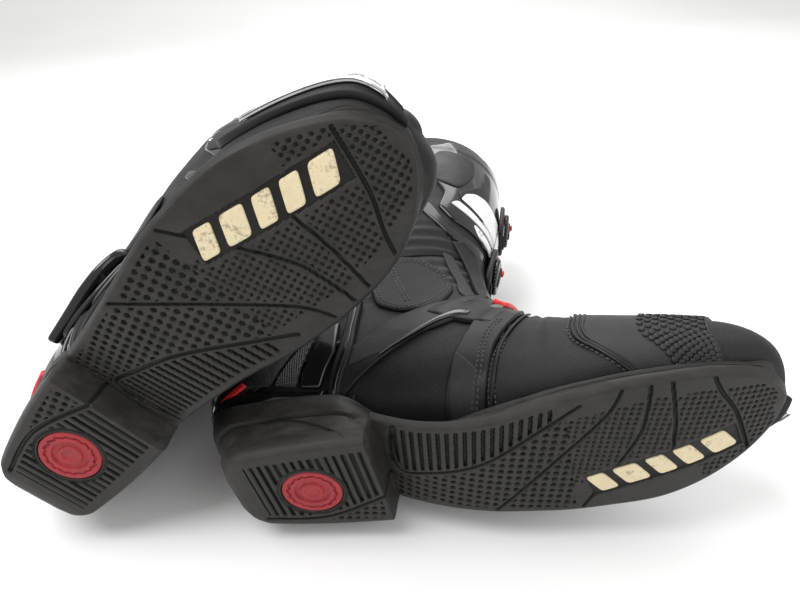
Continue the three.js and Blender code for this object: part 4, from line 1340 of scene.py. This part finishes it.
def heel_cup(boot):
    """Gloss cup with its rubber wrap, gloss rim, scale panels, strip, silver insert and red band."""
    v = np.radians(np.linspace(99, 261, 90))
    low = np.stack([8.55 + np.cos(v) ** 2 * 0.92, v], -1)
    high = np.stack([11.0 - 0.9 * np.abs(np.sin(v)) ** 6, v], -1)
    shape = Shape()

    def relief(s, v, a, b, flat):
        return 0.7 * ramp(b, 0.62, 0.68) + 0.5 * np.exp(-((b - 0.3) / 0.05) ** 2)
    slab(shape, between(low, high), 0.3, 2.2, 1.4, (90, 36), relief)
    boot.piece("heel_cup", shape, "gloss", replaces=("heel_cup",))
    wrap, rim, strip, shine = Shape(), Shape(), Shape(), Shape()
    fine, coarse = Shape(), Shape()
    for side in (1, -1):
        low_line = side_line([(-7, 49), (10, 43.5), (30, 41), (52, 38.5), (74, 35), (92, 29)], side)
        high_line = side_line([(-11, 56), (8, 53), (28, 50), (46, 47.5), (66, 45), (88, 43)], side)
        slab(wrap, between(low_line, high_line), 0.2, 3.4, 1.4, (60, 14),
             lambda s, v, a, b, flat: 0.25 * ripple(flat, 15, 2.0) + 0.6 * np.sin(b * math.pi))
        low_line = side_line([(-9, 53), (8, 51), (28, 47.5), (50, 45), (67, 43)], side)
        high_line = side_line([(-11, 60), (8, 57), (28, 53), (50, 50), (69, 48)], side)
        slab(rim, between(low_line, high_line), 3.0, 2.4, 2.0, (60, 14))
        for part, corners, corner, thick, edge in (
                (fine, [(9, 58), (35, 78), (61, 89), (36, 54)], 0.08, 1.3, 0.7),
                (coarse, [(38, 54), (63, 88), (66, 92), (52, 51.5)], 0.06, 1.8, 0.7),
                (shine, [(54, 51), (68, 90), (77, 92), (76, 68), (67, 49)], 0.1, 2.4, 1.4)):
            panel(part, side_outline(corners, side, corner), 2.3, thick, edge)
        front = side_line([(90, 112), (88, 90), (86, 67), (79, 47), (76, 36)], side)
        rear = side_line([(82, 112), (80, 90), (77, 69), (71, 48), (68, 37)], side)
        slab(strip, between(front, rear), 0.6, 3.4, 1.3, (60, 12))
        slab(rim, between(front * 0.72 + rear * 0.28, front * 0.38 + rear * 0.62), 3.7, 0.9, 0.7, (60, 8))
    back = skin_line([(9.1, 128), (9.2, 150), (9.25, 180), (9.2, 210), (9.1, 232)], 40)
    slab(wrap, between(back, back + [0.62, 0]), 0.4, 3.0, 1.2, (50, 12))
    slab(rim, between(back + [0.66, 0], back + [0.86, 0]), 2.2, 2.4, 1.2, (50, 8))
    boot.piece("heel_wrap", wrap, "sole_rubber")
    boot.piece("heel_rim", rim, "gloss")
    boot.piece("heel_scales", fine, "fine_scales")
    boot.piece("heel_big_scales", coarse, "scales")
    boot.piece("heel_gloss", shine, "gloss")
    boot.piece("heel_strip", strip, "satin")
    insert = Shape()
    panel(insert, angled(rounded_outline([(9.75, 156), (9.72, 204), (10.5, 206), (10.62, 180), (10.5, 154)],
                                         corner=.25)),
          2.4, 2.2, 1.2)
    panel(insert, side_outline([(0, 60), (13, 60), (13, 66), (1, 67)], 1, 0.25), 2.6, 1.8, 0.8)
    boot.piece("heel_insert", insert, "chrome", replaces=("heel_insert",))
    band = Shape()
    low_line = side_line([(38, 58.5), (20, 58), (5, 59), (-10, 62)], 1)
    high_line = side_line([(38, 63), (20, 62.5), (5, 63.5), (-11, 66.5)], 1)
    slab(band, between(low_line, high_line), 3.0, 2.2, 0.9, (60, 6))
    low = skin_line([(9.42, 155), (9.5, 180), (9.42, 205), (9.2, 226)], 70)
    slab(band, between(low, low + [0.16, 0]), 2.9, 2.0, 0.9, (60, 6))
    boot.piece("heel_red_band", band, "red")


def ankle_pad(boot):
    """Flat padded leather patch over the ankle bone with a double row of stitches and a crossing seam."""
    outline = rounded_outline([(97, 152), (127, 155), (142, 145), (148, 128), (141, 108), (132, 99),
                               (112, 100), (98, 108), (93, 130)], corner=0.26)
    outline = find(outline, -1)
    shape = Shape()
    middle = find([(120, 128)], -1)[0]

    def puff(s, v, flat):
        reach = np.linalg.norm(flat - skin(*middle), axis=-1)
        return 1.0 * (1 - np.clip(reach / 30, 0, 1) ** 2) + 0.15 * ripple(flat, 14, 0.3)
    panel(shape, outline, 0.1, 2.0, 1.3, middle, 14, puff)
    pad = boot.piece("ankle_pad", shape, "leather", body=None, replaces=("ankle_pad",))
    boot.bend(pad)
    seam = Shape()
    for share in (0.84, 0.915):
        ring = middle + (outline - middle) * share
        stitches(seam, np.concatenate([ring, ring[:1]]), 2.3 + 1.0 * (1 - share ** 2), pitch=3.0)
    line = side_line([(106, 149), (112, 128), (119, 107)], -1)
    for gap in (-1.2, 1.2):
        stitches(seam, line, 3.0, gap=gap)
    boot.bend(boot.piece("ankle_pad_stitches", seam, "thread", body=None))


def instep(boot):
    """Moulded strap: two legs on each side, the bridge over the instep, inserts, red plate and stitches."""
    strap, cuts, shine, seam = Shape(), Shape(), Shape(), Shape()
    for side in (-1, 1):
        top = side_line([(80, 67), (94, 78), (109, 90), (129, 101), (148, 110), (160, 116)], side)
        low = side_line([(79, 42), (92, 50), (105, 59), (125, 73), (143, 81), (158, 91)], side)
        slab(strap, between(top, low), 0.3, 2.2, 1.2, (70, 24))
        rear = side_line([(135, 19), (139, 30), (143, 42), (148, 55), (156, 72), (162, 88), (168, 102)], side)
        front = side_line([(157, 17), (161, 25), (165, 37), (169, 49), (176, 62), (183, 74), (189, 87)], side)
        slab(strap, between(rear, front), 0.3, 2.5, 1.2, (70, 24))
        panel(cuts, side_outline([(84, 57), (87, 70), (108, 82), (124, 75), (107, 62)], side, 0.10), 2.1, 0.8,
              0.5, relief=lambda s, v, flat: 0.12 * ripple(flat, 18, 1.1), rings=12)
        panel(cuts, side_outline([(147, 51), (158, 35), (154, 20), (139, 20)], side, 0.10), 2.4, 0.8, 0.5,
              relief=lambda s, v, flat: 0.12 * ripple(flat, 16, 2.2), rings=12)
        under = side_line([(102, 58), (114, 66), (126, 73.5), (138, 81), (148, 85), (156, 84)], side)
        over = side_line([(102, 60), (114, 68.5), (126, 76.5), (138, 85.5), (149, 91.5), (158, 89)], side)
        slab(shine, between(under, over), 2.0, 2.3, 1.2, (60, 10))
        edge = side_line([(155, 19), (161, 32), (168, 57), (177, 72)], side)
        for gap in (-4.2, -1.6):
            stitches(seam, edge, 2.9, gap=gap * side)
        bead(strap, side_line([(160, 18), (164, 25), (168, 37), (172, 49), (179, 62), (186, 74), (192, 87)],
                              side), 0.8, 1.1)
    over_rear = skin_line([(8.0, -72), (8.15, -45), (8.05, 0), (8.15, 45), (8.0, 72)], 70)
    over_front = skin_line([(6.5, -72), (6.42, -45), (6.6, 0), (6.42, 45), (6.5, 72)], 70)

    def bridge(s, v, a, b, flat):
        ridges = 0.5 * np.exp(-((b - 0.16) / 0.05) ** 2) + 0.5 * np.exp(-((b - 0.84) / 0.05) ** 2)
        slot = 1.1 * np.exp(-((b - 0.34) / 0.045) ** 2)
        return ridges - slot * np.exp(-((a - 0.22) / 0.05) ** 4) - slot * np.exp(-((a - 0.78) / 0.05) ** 4)
    slab(strap, between(over_rear, over_front), 0.3, 2.9, 1.5, (70, 30), bridge)
    boot.piece("instep_strap", strap, "satin", replaces=("instep_strap",))
    boot.piece("strap_inserts", cuts, "grip")
    boot.piece("strap_gloss", shine, "gloss")
    boot.piece("strap_stitches", seam, "thread")
    plate = Shape()
    panel(plate, angled(rounded_outline([(6.55, -42), (6.5, 0), (6.55, 42), (7.35, 34), (7.5, 0),
                                         (7.35, -34)], corner=.16)),
          3.4, 3.0, 1.4, relief=lambda s, v, flat: 0.7 * np.exp(-((v / 0.16) ** 2)))
    boot.piece("instep_plate", plate, "red", replaces=("instep_plate",))
    grey = Shape()
    panel(grey, angled(rounded_outline([(6.55, -50), (6.65, -40), (6.95, -40), (6.9, -52)], corner=0.2)),
          3.0, 1.3, 0.7)
    boot.piece("strap_buckle", grey, "worn")


def shaft_panels(boot):
    """Shin shell and its layers, white bars, skirt, front hook strap, vent, calf plate, seams and piping."""
    plate, layers, bright, shine = Shape(), Shape(), Shape(), Shape()
    edge_points = [(137, 279), (137, 255), (149, 229), (143, 210), (152, 198), (169, 193)]
    shell = np.concatenate([angled([(15.95, -74)]), find(edge_points, -1), angled([(13.13, 0)]),
                            find(edge_points, 1)[::-1],
                            angled([(15.95, 74), (16.42, 55), (16.46, 20), (16.46, -20), (16.42, -55)])])
    ring = np.concatenate([shell, shell[:1]])
    far = np.linspace(0, len(shell), 260, endpoint=False)
    closed = np.stack([np.interp(far, np.arange(len(ring)), ring[:, k]) for k in range(2)], -1)
    for _ in range(3):
        closed = (np.roll(closed, 1, 0) + 2 * closed + np.roll(closed, -1, 0)) / 4

    def ridges(s, v, flat):
        sweep = np.abs(v) - 0.62 - (s - 14.6) * 0.22
        return 0.9 * np.exp(-(sweep / 0.05) ** 2) * ramp(s, 13.6, 14.2) + 0.6 * ramp(s, 15.9, 16.05)
    panel(plate, closed, 0.6, 2.6, 1.5, (14.9, 0.0), 34, ridges)
    for way in (-1, 1):
        for outer in ([(14.55, 62), (15.3, 69), (15.85, 62), (15.8, 38), (15.0, 36), (14.4, 46)],
                      [(13.55, 30), (14.25, 47), (14.5, 40), (14.9, 30), (15.7, 28), (15.6, 20), (14.6, 20),
                       (13.7, 22)]):
            spots = rounded_outline(np.array(outer, float) * [1, way], corner=0.3)
            panel(layers, angled(spots), 3.0, 1.2, 0.9)
    boot.piece("shin_plate", plate, "gloss", body="cuff", replaces=("shin_plate",))
    boot.piece("shin_layers", layers, "satin", body="cuff")
    for side in (-1, 1):
        bars = ([(152, 216), (157, 221), (168, 214), (176.5, 208.5), (174, 205.5), (166, 208), (158, 212)],
                [(159, 224), (163, 233), (170, 240), (177, 243), (183, 240), (181, 226), (177.5, 211.5),
                 (169, 216.5)],
                [(165, 205), (175, 202), (173, 196), (167, 196)])
        for bar in bars:
            panel(bright, side_outline(bar, side, 0.24), 3.0, 1.3, 0.8)
        top = side_line([(130, 219), (138, 211), (146, 197), (153, 188), (169, 187)], side)
        low = side_line([(127, 211), (133, 200), (142, 189), (151, 180), (168, 178)], side)
        slab(shine, between(top, low), 0.4, 2.6, 1.2, (50, 10))
    boot.piece("white_bars", bright, "white", body="cuff")
    boot.piece("shin_skirt", shine, "gloss", body="cuff")
    hook = Shape()
    left = side_line([(149, 177), (152, 170), (156, 158), (158, 146), (160, 131), (162, 118)], -1)
    right = side_line([(160, 183), (167, 178), (170, 162), (170, 146), (169, 131), (170, 119)], -1)
    slab(hook, between(left, right), 0.6, 3.0, 1.4, (60, 12),
         lambda s, v, a, b, flat: 0.8 * np.exp(-((b - 0.5) / 0.12) ** 2))
    boot.bend(boot.piece("front_hook", hook, "satin", body=None))
    vent = Shape()
    for side in (-1, 1):
        panel(vent, side_outline([(142, 166), (150, 164), (157, 140), (163, 119), (155, 117), (150, 138)],
                                 side, .2), 0.0, 0.9, 0.6, rings=10)
    boot.bend(boot.piece("vent_mesh", vent, "mesh_cloth", body=None))
    calf = Shape()
    v = np.radians(np.linspace(116, 244, 80))
    low = np.stack([13.35 + 0.25 * np.sin(v * 2) ** 2, v], -1)
    high = np.stack([16.42 - 0.3 * np.sin(v) ** 2, v], -1)

    def calf_relief(s, v, a, b, flat):
        return 0.8 * np.exp(-((a - 0.5) / 0.03) ** 2) * ramp(b, .08, .2) * (1 - ramp(b, .8, .92)) \
            + 0.6 * ramp(np.cos(b * 2 * math.pi * 7), 0.3, 0.8) * ramp(a, .25, .3) * (1 - ramp(a, .7, .75)) \
            * ramp(b, .1, .15) * (1 - ramp(b, .85, .9))
    slab(calf, between(low, high), 0.6, 2.4, 1.5, (90, 90), calf_relief)
    boot.piece("calf_plate", calf, "satin", body="cuff", replaces=("calf_plate",))
    seam = Shape()
    for side in (-1, 1):
        line = side_line([(124, 200), (131, 197), (139, 193), (149, 184), (156, 176)], side)
        for gap in (0.0, 2.4):
            stitches(seam, line, 0.6, gap=gap * side)
        back = skin_line([(12.2, 100 * side), (13.0, 100 * side), (14.0, 98 * side), (15.2, 98 * side),
                          (16.3, 98 * side)], 80)
        stitches(seam, back, 0.6)
        stitches(seam, back + [0, 0.05], 0.6)
    boot.piece("shaft_stitches", seam, "thread", body="cuff")
    pipe = Shape()
    around = np.stack([np.full(61, 16.5), np.radians(np.linspace(-180, 180, 61))], -1)
    bead(pipe, around, 0.6, 1.3, count=160)
    boot.piece("collar_piping", pipe, "satin", body="cuff")


def screw(boot):
    """Cap screws: a domed head with a six-sided socket, turned about its own axis."""
    shape = Shape()
    for s, v, lift, radius in ((13.32, -22, 3.2, 3.4), (13.32, 24, 3.2, 3.4), (15.2, -66, 3.2, 2.4),
                               (15.2, 66, 3.2, 2.4)):
        v = math.radians(v)
        centre, n = lifted(s, v, np.array(lift)), outward(s, v)
        run = unit(steps(s, v)[0])
        across = np.cross(n, run)
        turn = full_turn(30)
        six = 0.5 / np.maximum(np.cos((turn + math.pi / 6) % (math.pi / 3) - math.pi / 6), 0.1)
        rows = []
        for wide, high, hexed in ((1.0, -1.0, 0), (1.0, 0.6, 0), (0.9, 1.1, 0), (0.7, 1.4, 0), (0.6, 1.4, 1),
                                  (0.56, 0.4, 1), (0.2, 0.3, 0)):
            r = radius * (wide * six * 1.6 if hexed else wide * np.ones_like(turn))
            r = np.minimum(r, radius * wide) if hexed else r
            rows.append(centre + n * high + run * (r * np.cos(turn))[:, None]
                        + across * (r * np.sin(turn))[:, None])
        shape.tube(np.array(rows))
    boot.piece("plate_screws", shape, "chrome", body="cuff")


def lever_bar(boot, name, path, wide, thick, finish, body, replaces=()):
    """Flat bar along a path of (x, y, z), rounded on all edges, its width in the boot's side plane."""
    rows_path = curve(np.array(path, float), 70)
    run = unit(np.gradient(rows_path, axis=0))
    side = np.array([0.0, 1.0, 0.0])
    across = unit(np.cross(side, run))
    out = unit(np.cross(run, across))
    wide = np.interp(np.linspace(0, 1, 70), np.linspace(0, 1, len(wide)), wide)
    ends = np.sqrt(np.clip(1 - np.abs(np.linspace(-1, 1, 70)) ** 24, 0.02, 1))
    turn = full_turn(28)
    c = boxed(np.cos(turn), 0.42)
    q = boxed(np.sin(turn), 0.62)
    rows = rows_path[:, None] + across[:, None] * (wide * ends / 2)[:, None, None] * c[None, :, None] \
        + out[:, None] * (thick / 2 * ends[:, None, None]) * q[None, :, None]
    shape = Shape()
    shape.tube(rows)
    boot.piece(name, shape, finish, body=body, replaces=replaces)


def brace(boot):
    """Ankle brace: lower arm with its hooked lever, ribbed block, the long arm up the shaft and the screw."""
    lever_bar(boot, "brace_lower",
              [(96, 43.5, 122), (101, 44.2, 112), (96, 44.6, 100), (84, 44.6, 92), (72, 44.2, 84),
               (63, 43.6, 74), (58, 42.6, 66)],
              [8, 13, 17, 19, 18, 16, 10], 4.6, "gloss", "boot", ("brace_lower",))
    lever_bar(boot, "brace_lever",
              [(109, 46, 104), (110, 50.5, 97), (102, 52.3, 89), (89, 51.6, 82), (76, 49.4, 76),
               (65, 47.4, 70), (57, 46.0, 66)],
              [10, 12, 13, 12, 13, 15, 17], 7.4, "gloss", "boot")
    lever_bar(boot, "brace_inner_lever",
              [(104, 44.5, 97), (99, 49, 94), (90, 51, 90), (78, 49.6, 85), (68, 45, 80)],
              [9, 10, 10, 10, 9], 6.0, "gloss", "boot")
    lever_bar(boot, "brace_seat",
              [(114, 43.5, 108), (102, 45.2, 99), (88, 45.6, 90), (74, 45.0, 80), (60, 43.2, 70)],
              [20, 30, 32, 30, 18], 5.6, "gloss", "boot")
    ribs = Shape()
    for k in range(7):
        x, z = 97 + 1.2 * k, 83 + 2.4 * k
        turn = full_turn(20)
        rows = []
        for y, share in ((43.0, 1.0), (53.6, 1.0), (54.4, 0.86), (54.7, 0.55), (54.7, 0.1)):
            rows.append(np.stack([x + 7.5 * share * np.cos(turn), np.full(20, y),
                                  z + 1.15 * share * np.sin(turn)
                                  + 0.3 * share * np.cos(turn)], -1))
        ribs.tube(np.array(rows))
    boot.piece("brace_ribs", ribs, "satin")
    lever_bar(boot, "brace_arm",
              [(78, 47.2, 100), (84, 47.4, 107), (90, 47.8, 118), (95, 49, 134), (99, 51, 156),
               (100, 54, 184), (100, 56.5, 212)],
              [11, 16, 15, 13, 13, 14, 9], 3.0, "satin", "cuff", ("brace_arm",))
    turn = full_turn(48)
    rows = []
    for radius, high in ((7.2, 45), (7.2, 49.6), (6.6, 50.4), (5.2, 50.8), (3.3, 50.8), (3.1, 49.6),
                         (1.2, 49.4)):
        r = radius * (1 - 0.12 * (np.cos(turn * 3) > 0.5) * (radius < 3.5))
        rows.append(np.stack([84 + r * np.cos(turn), np.full(48, high), 106 + r * np.sin(turn)], -1))
    shape = Shape()
    shape.tube(np.array(rows))
    boot.piece("pivot_screw", shape, "chrome", body="boot", replaces=("pivot_screw",))


class Seat:
    """A buckle's place on the shin: its middle, its side, up and out axes in the boot's frame."""

    def __init__(self, height):
        front = np.linspace(SHAFT_LOW, LAST_STATION, 521)
        s = front[np.argmax(skin(front, np.zeros(521))[:, 2] >= height)]
        v = math.radians(10)
        self.place = lifted(s, v, np.array(BUCKLE_LIFT))
        self.out = outward(s, v)
        self.side = unit(np.cross(unit(skin(s + .05, v) - skin(s - .05, v)), self.out))
        self.up = np.cross(self.out, self.side)

    def stack(self, shape, outline, levels, centre=(0.0, 0.0)):
        """A turned or moulded body: outline(share) in the seat's plane at (share, height) levels."""
        rows = []
        for share, high in levels:
            x, y = outline(share)
            rows.append(self.place + self.side * (centre[0] + x)[:, None] + self.up * (centre[1] + y)[:, None]
                        + self.out * high)
        shape.tube(np.array(rows))


def soft_box(wide, long, power=6.0, count=64):
    """Outline function of a rectangle with round corners, drawn in by a share of its size."""
    turn = full_turn(count)
    c, q = np.cos(turn), np.sin(turn)
    r = (np.abs(c) ** power + np.abs(q) ** power) ** (-1 / power)
    edge = min(wide, long) / 2

    def outline(share):
        inset = edge * (1 - share)
        return (wide / 2 - inset) * c * r, (long / 2 - inset) * q * r
    return outline


def knurled(radius, teeth, deep, count=144):
    """Outline function of a wheel with rounded teeth."""
    turn = full_turn(count)
    wave = 1 - deep * (0.5 + 0.5 * np.cos(turn * teeth))

    def outline(share):
        r = radius * share * (wave if share > 0.8 else np.full(count, 1 - deep / 2))
        return r * np.cos(turn), r * np.sin(turn)
    return outline


def buckle(boot, level, height):
    """Dial buckle: rounded base, knurled dial with a ring groove, flip lever with a red tab, red button."""
    seat = Seat(height)
    base = Shape()
    seat.stack(base, soft_box(31, 44, 4.5),
               ((1.0, -0.6), (1.0, 1.6), (0.98, 2.4), (0.93, 3.0), (0.86, 3.3), (0.6, 3.4), (0.1, 3.4)))
    seat.stack(base, soft_box(13, 3.2, 4, 32), ((1.0, 2.8), (1.0, 4.0), (0.8, 4.5), (0.2, 4.6)), (0.0, -19.2))
    boot.piece(level + "_buckle_base", base, "satin", body="cuff", replaces=(level + "_buckle_base",))
    dial = Shape()
    seat.stack(dial, knurled(DIAL_RADIUS, DIAL_TEETH, 0.07),
               ((1.0, 3.8), (1.0, 5.9), (0.96, 6.7), (0.86, 7.2), (0.78, 7.3), (0.76, 6.7),
                                              (0.70, 6.6), (0.68, 7.2), (0.4, 7.3), (0.1, 7.3)))
    boot.piece(level + "_dial", dial, "gloss", body=level + "_dial", replaces=(level + "_dial",))
    lever, tab = Shape(), Shape()
    seat.stack(lever, soft_box(7, 22, 4, 40), ((1.0, 6.0), (1.0, 7.6), (0.86, 8.3), (0.5, 8.6), (0.1, 8.6)))
    seat.stack(tab, soft_box(4.6, 5.0, 3, 32),
               ((1.0, 8.0), (1.0, 9.4), (0.8, 10.2), (0.4, 10.5), (0.1, 10.6)), (0.0, 5.5))
    boot.piece(level + "_lever", lever, "satin", body=level + "_lever", replaces=(level + "_lever",))
    boot.piece(level + "_lever_tab", tab, "red", body=level + "_lever")
    button = Shape()
    seat.stack(button, soft_box(9, 7, 4, 40), ((1.0, 1.4), (1.0, 3.6), (0.9, 4.3), (0.6, 4.6), (0.1, 4.7)),
               (0.0, 19.5))
    boot.piece(level + "_button", button, "red", body=level + "_button", replaces=(level + "_button",))


def build(side):
    """Makes one boot, piece by piece."""
    boot = Boot(side)
    boot.piece("outsole", outsole(), "sole_rubber", replaces=("outsole",), angle=50)
    boot.piece("heel_arcs", heel_arcs(), "sole_rubber")
    boot.piece("sole_inlay", inlay_bars(), "beige", replaces=("sole_inlay",), angle=50)
    boot.piece("heel_disc", heel_disc(), "disc_red", replaces=("heel_disc",), angle=45)
    boot.piece("foot_upper", foot_upper(), "leather", replaces=("foot_upper",))
    sleeve = cuff_shell(*GAITER, 60, 160, gaiter_relief, lambda s, v: np.full(s.shape, -4.4))
    gaiter = boot.piece("ankle_gaiter", sleeve, "stretch", body=None, replaces=("ankle_gaiter",))
    boot.bend(gaiter)
    leg = cuff_shell(SHAFT_LOW, SHAFT_HIGH, 150, 200, shaft_outside, lambda s, v: np.full(s.shape, -6.0))
    boot.piece("shaft", leg, "leather", body="cuff", replaces=("shaft",))
    roll = cuff_shell(COLLAR_LOW, LAST_STATION, 20, 160, lambda s, v: 1.6 * collar_swell(s) ** 0.5 - 1.0,
                      lambda s, v: -7 - 1.5 * collar_swell(s))
    collar = boot.piece("collar", roll, "stretch", body="cuff", replaces=("collar",))
    for node, finish in (("insole_board", "board"), ("footbed", "lining")):
        boot.keep(node, finish)
    toe_pad(boot)
    toe_slider(boot)
    heel_cup(boot)
    ankle_pad(boot)
    instep(boot)
    shaft_panels(boot)
    screw(boot)
    brace(boot)
    buckle(boot, "upper", 254)
    buckle(boot, "lower", 187)


for boot_side in ("left", "right"):
    build(boot_side)


# ---------------------------------------------------------------- floor, light and camera
def studio():
    """Pale sweep that curves up behind, large soft lamps and an even pale surround."""
    f = Finish("floor", specular=0.25)
    f.bump(f.noise(60, 3), 0.0002, 0.2)
    cloud = f.noise(3, 2)
    material = f.done(f.shades(cloud, (0.3, (0.80, 0.80, 0.80)), (0.8, (0.84, 0.84, 0.845))),
                      cloud.between(0, 1, 0.6, 0.7))
    rows, columns = 60, 30
    t = np.linspace(0, 1, rows)
    along = np.interp(t, [0, 0.55, 1], [-2.5, 1.6, 3.2])
    rise = np.where(t > 0.55, 1.9 * ((t - 0.55) / 0.45) ** 2, 0)
    x = np.linspace(-3.5, 3.5, columns)
    points = np.stack([np.repeat(x[None], rows, 0), np.repeat(along[:, None], columns, 1),
                       np.repeat(rise[:, None], columns, 1)], -1)
    mesh = bpy.data.meshes.new("floor")
    quads = cells(np.arange(rows * columns).reshape(rows, columns))[:, ::-1]
    mesh.from_pydata(points.reshape(-1, 3).tolist(), [], quads.tolist())
    mesh.shade_smooth()
    mesh.materials.append(material)
    floor = bpy.data.objects.new("floor", mesh)
    bpy.context.scene.collection.objects.link(floor)
    for name, spot, aim, wide, power in (("key", (-0.7, -0.2, 1.5), (0, 0, 0.05), 1.1, 23),
                                         ("fill", (1.1, -1.0, 1.1), (0, 0, 0.1), 1.2, 6),
                                         ("back", (0.2, 1.3, 1.2), (0, 0, 0.1), 1.4, 15)):
        lamp = bpy.data.lights.new(name, "AREA")
        lamp.shape, lamp.size, lamp.energy = "DISK", wide, power
        thing = bpy.data.objects.new(name, lamp)
        thing.location = spot
        thing.rotation_euler = (Vector(aim) - Vector(spot)).to_track_quat("-Z", "Y").to_euler()
        bpy.context.scene.collection.objects.link(thing)
    bpy.context.scene.view_settings.view_transform = "Standard"
    world = bpy.data.worlds.new("surround")
    world.use_nodes = True
    world.node_tree.nodes["Background"].inputs["Color"].default_value = (1.0, 0.99, 0.975, 1)
    world.node_tree.nodes["Background"].inputs["Strength"].default_value = 0.75
    bpy.context.scene.world = world


def camera():
    """Looks down on the pair from the front, a little from the left, with a slight roll."""
    elevation, azimuth, roll = math.radians(32.50), math.radians(-1.755), math.radians(-2.93)
    distance = 0.455
    centre = (CAD_BOX[0] + CAD_BOX[1]) / 2
    aim = centre + Vector((0.0226, 0.0, -0.0647))
    ahead = Vector((math.sin(azimuth) * math.cos(elevation), math.cos(azimuth) * math.cos(elevation),
                    -math.sin(elevation)))
    lens = bpy.data.cameras.new("view")
    lens.lens, lens.sensor_width = 27.0, 36.0
    lens.clip_start = 0.01
    thing = bpy.data.objects.new("view", lens)
    turn = ahead.to_track_quat("-Z", "Y").to_matrix() @ Matrix.Rotation(roll, 3, "Z")
    thing.matrix_world = Matrix.Translation(aim - ahead * distance) @ turn.to_4x4()
    bpy.context.scene.collection.objects.link(thing)
    bpy.context.scene.camera = thing


studio()
camera()
bpy.context.view_layer.update()
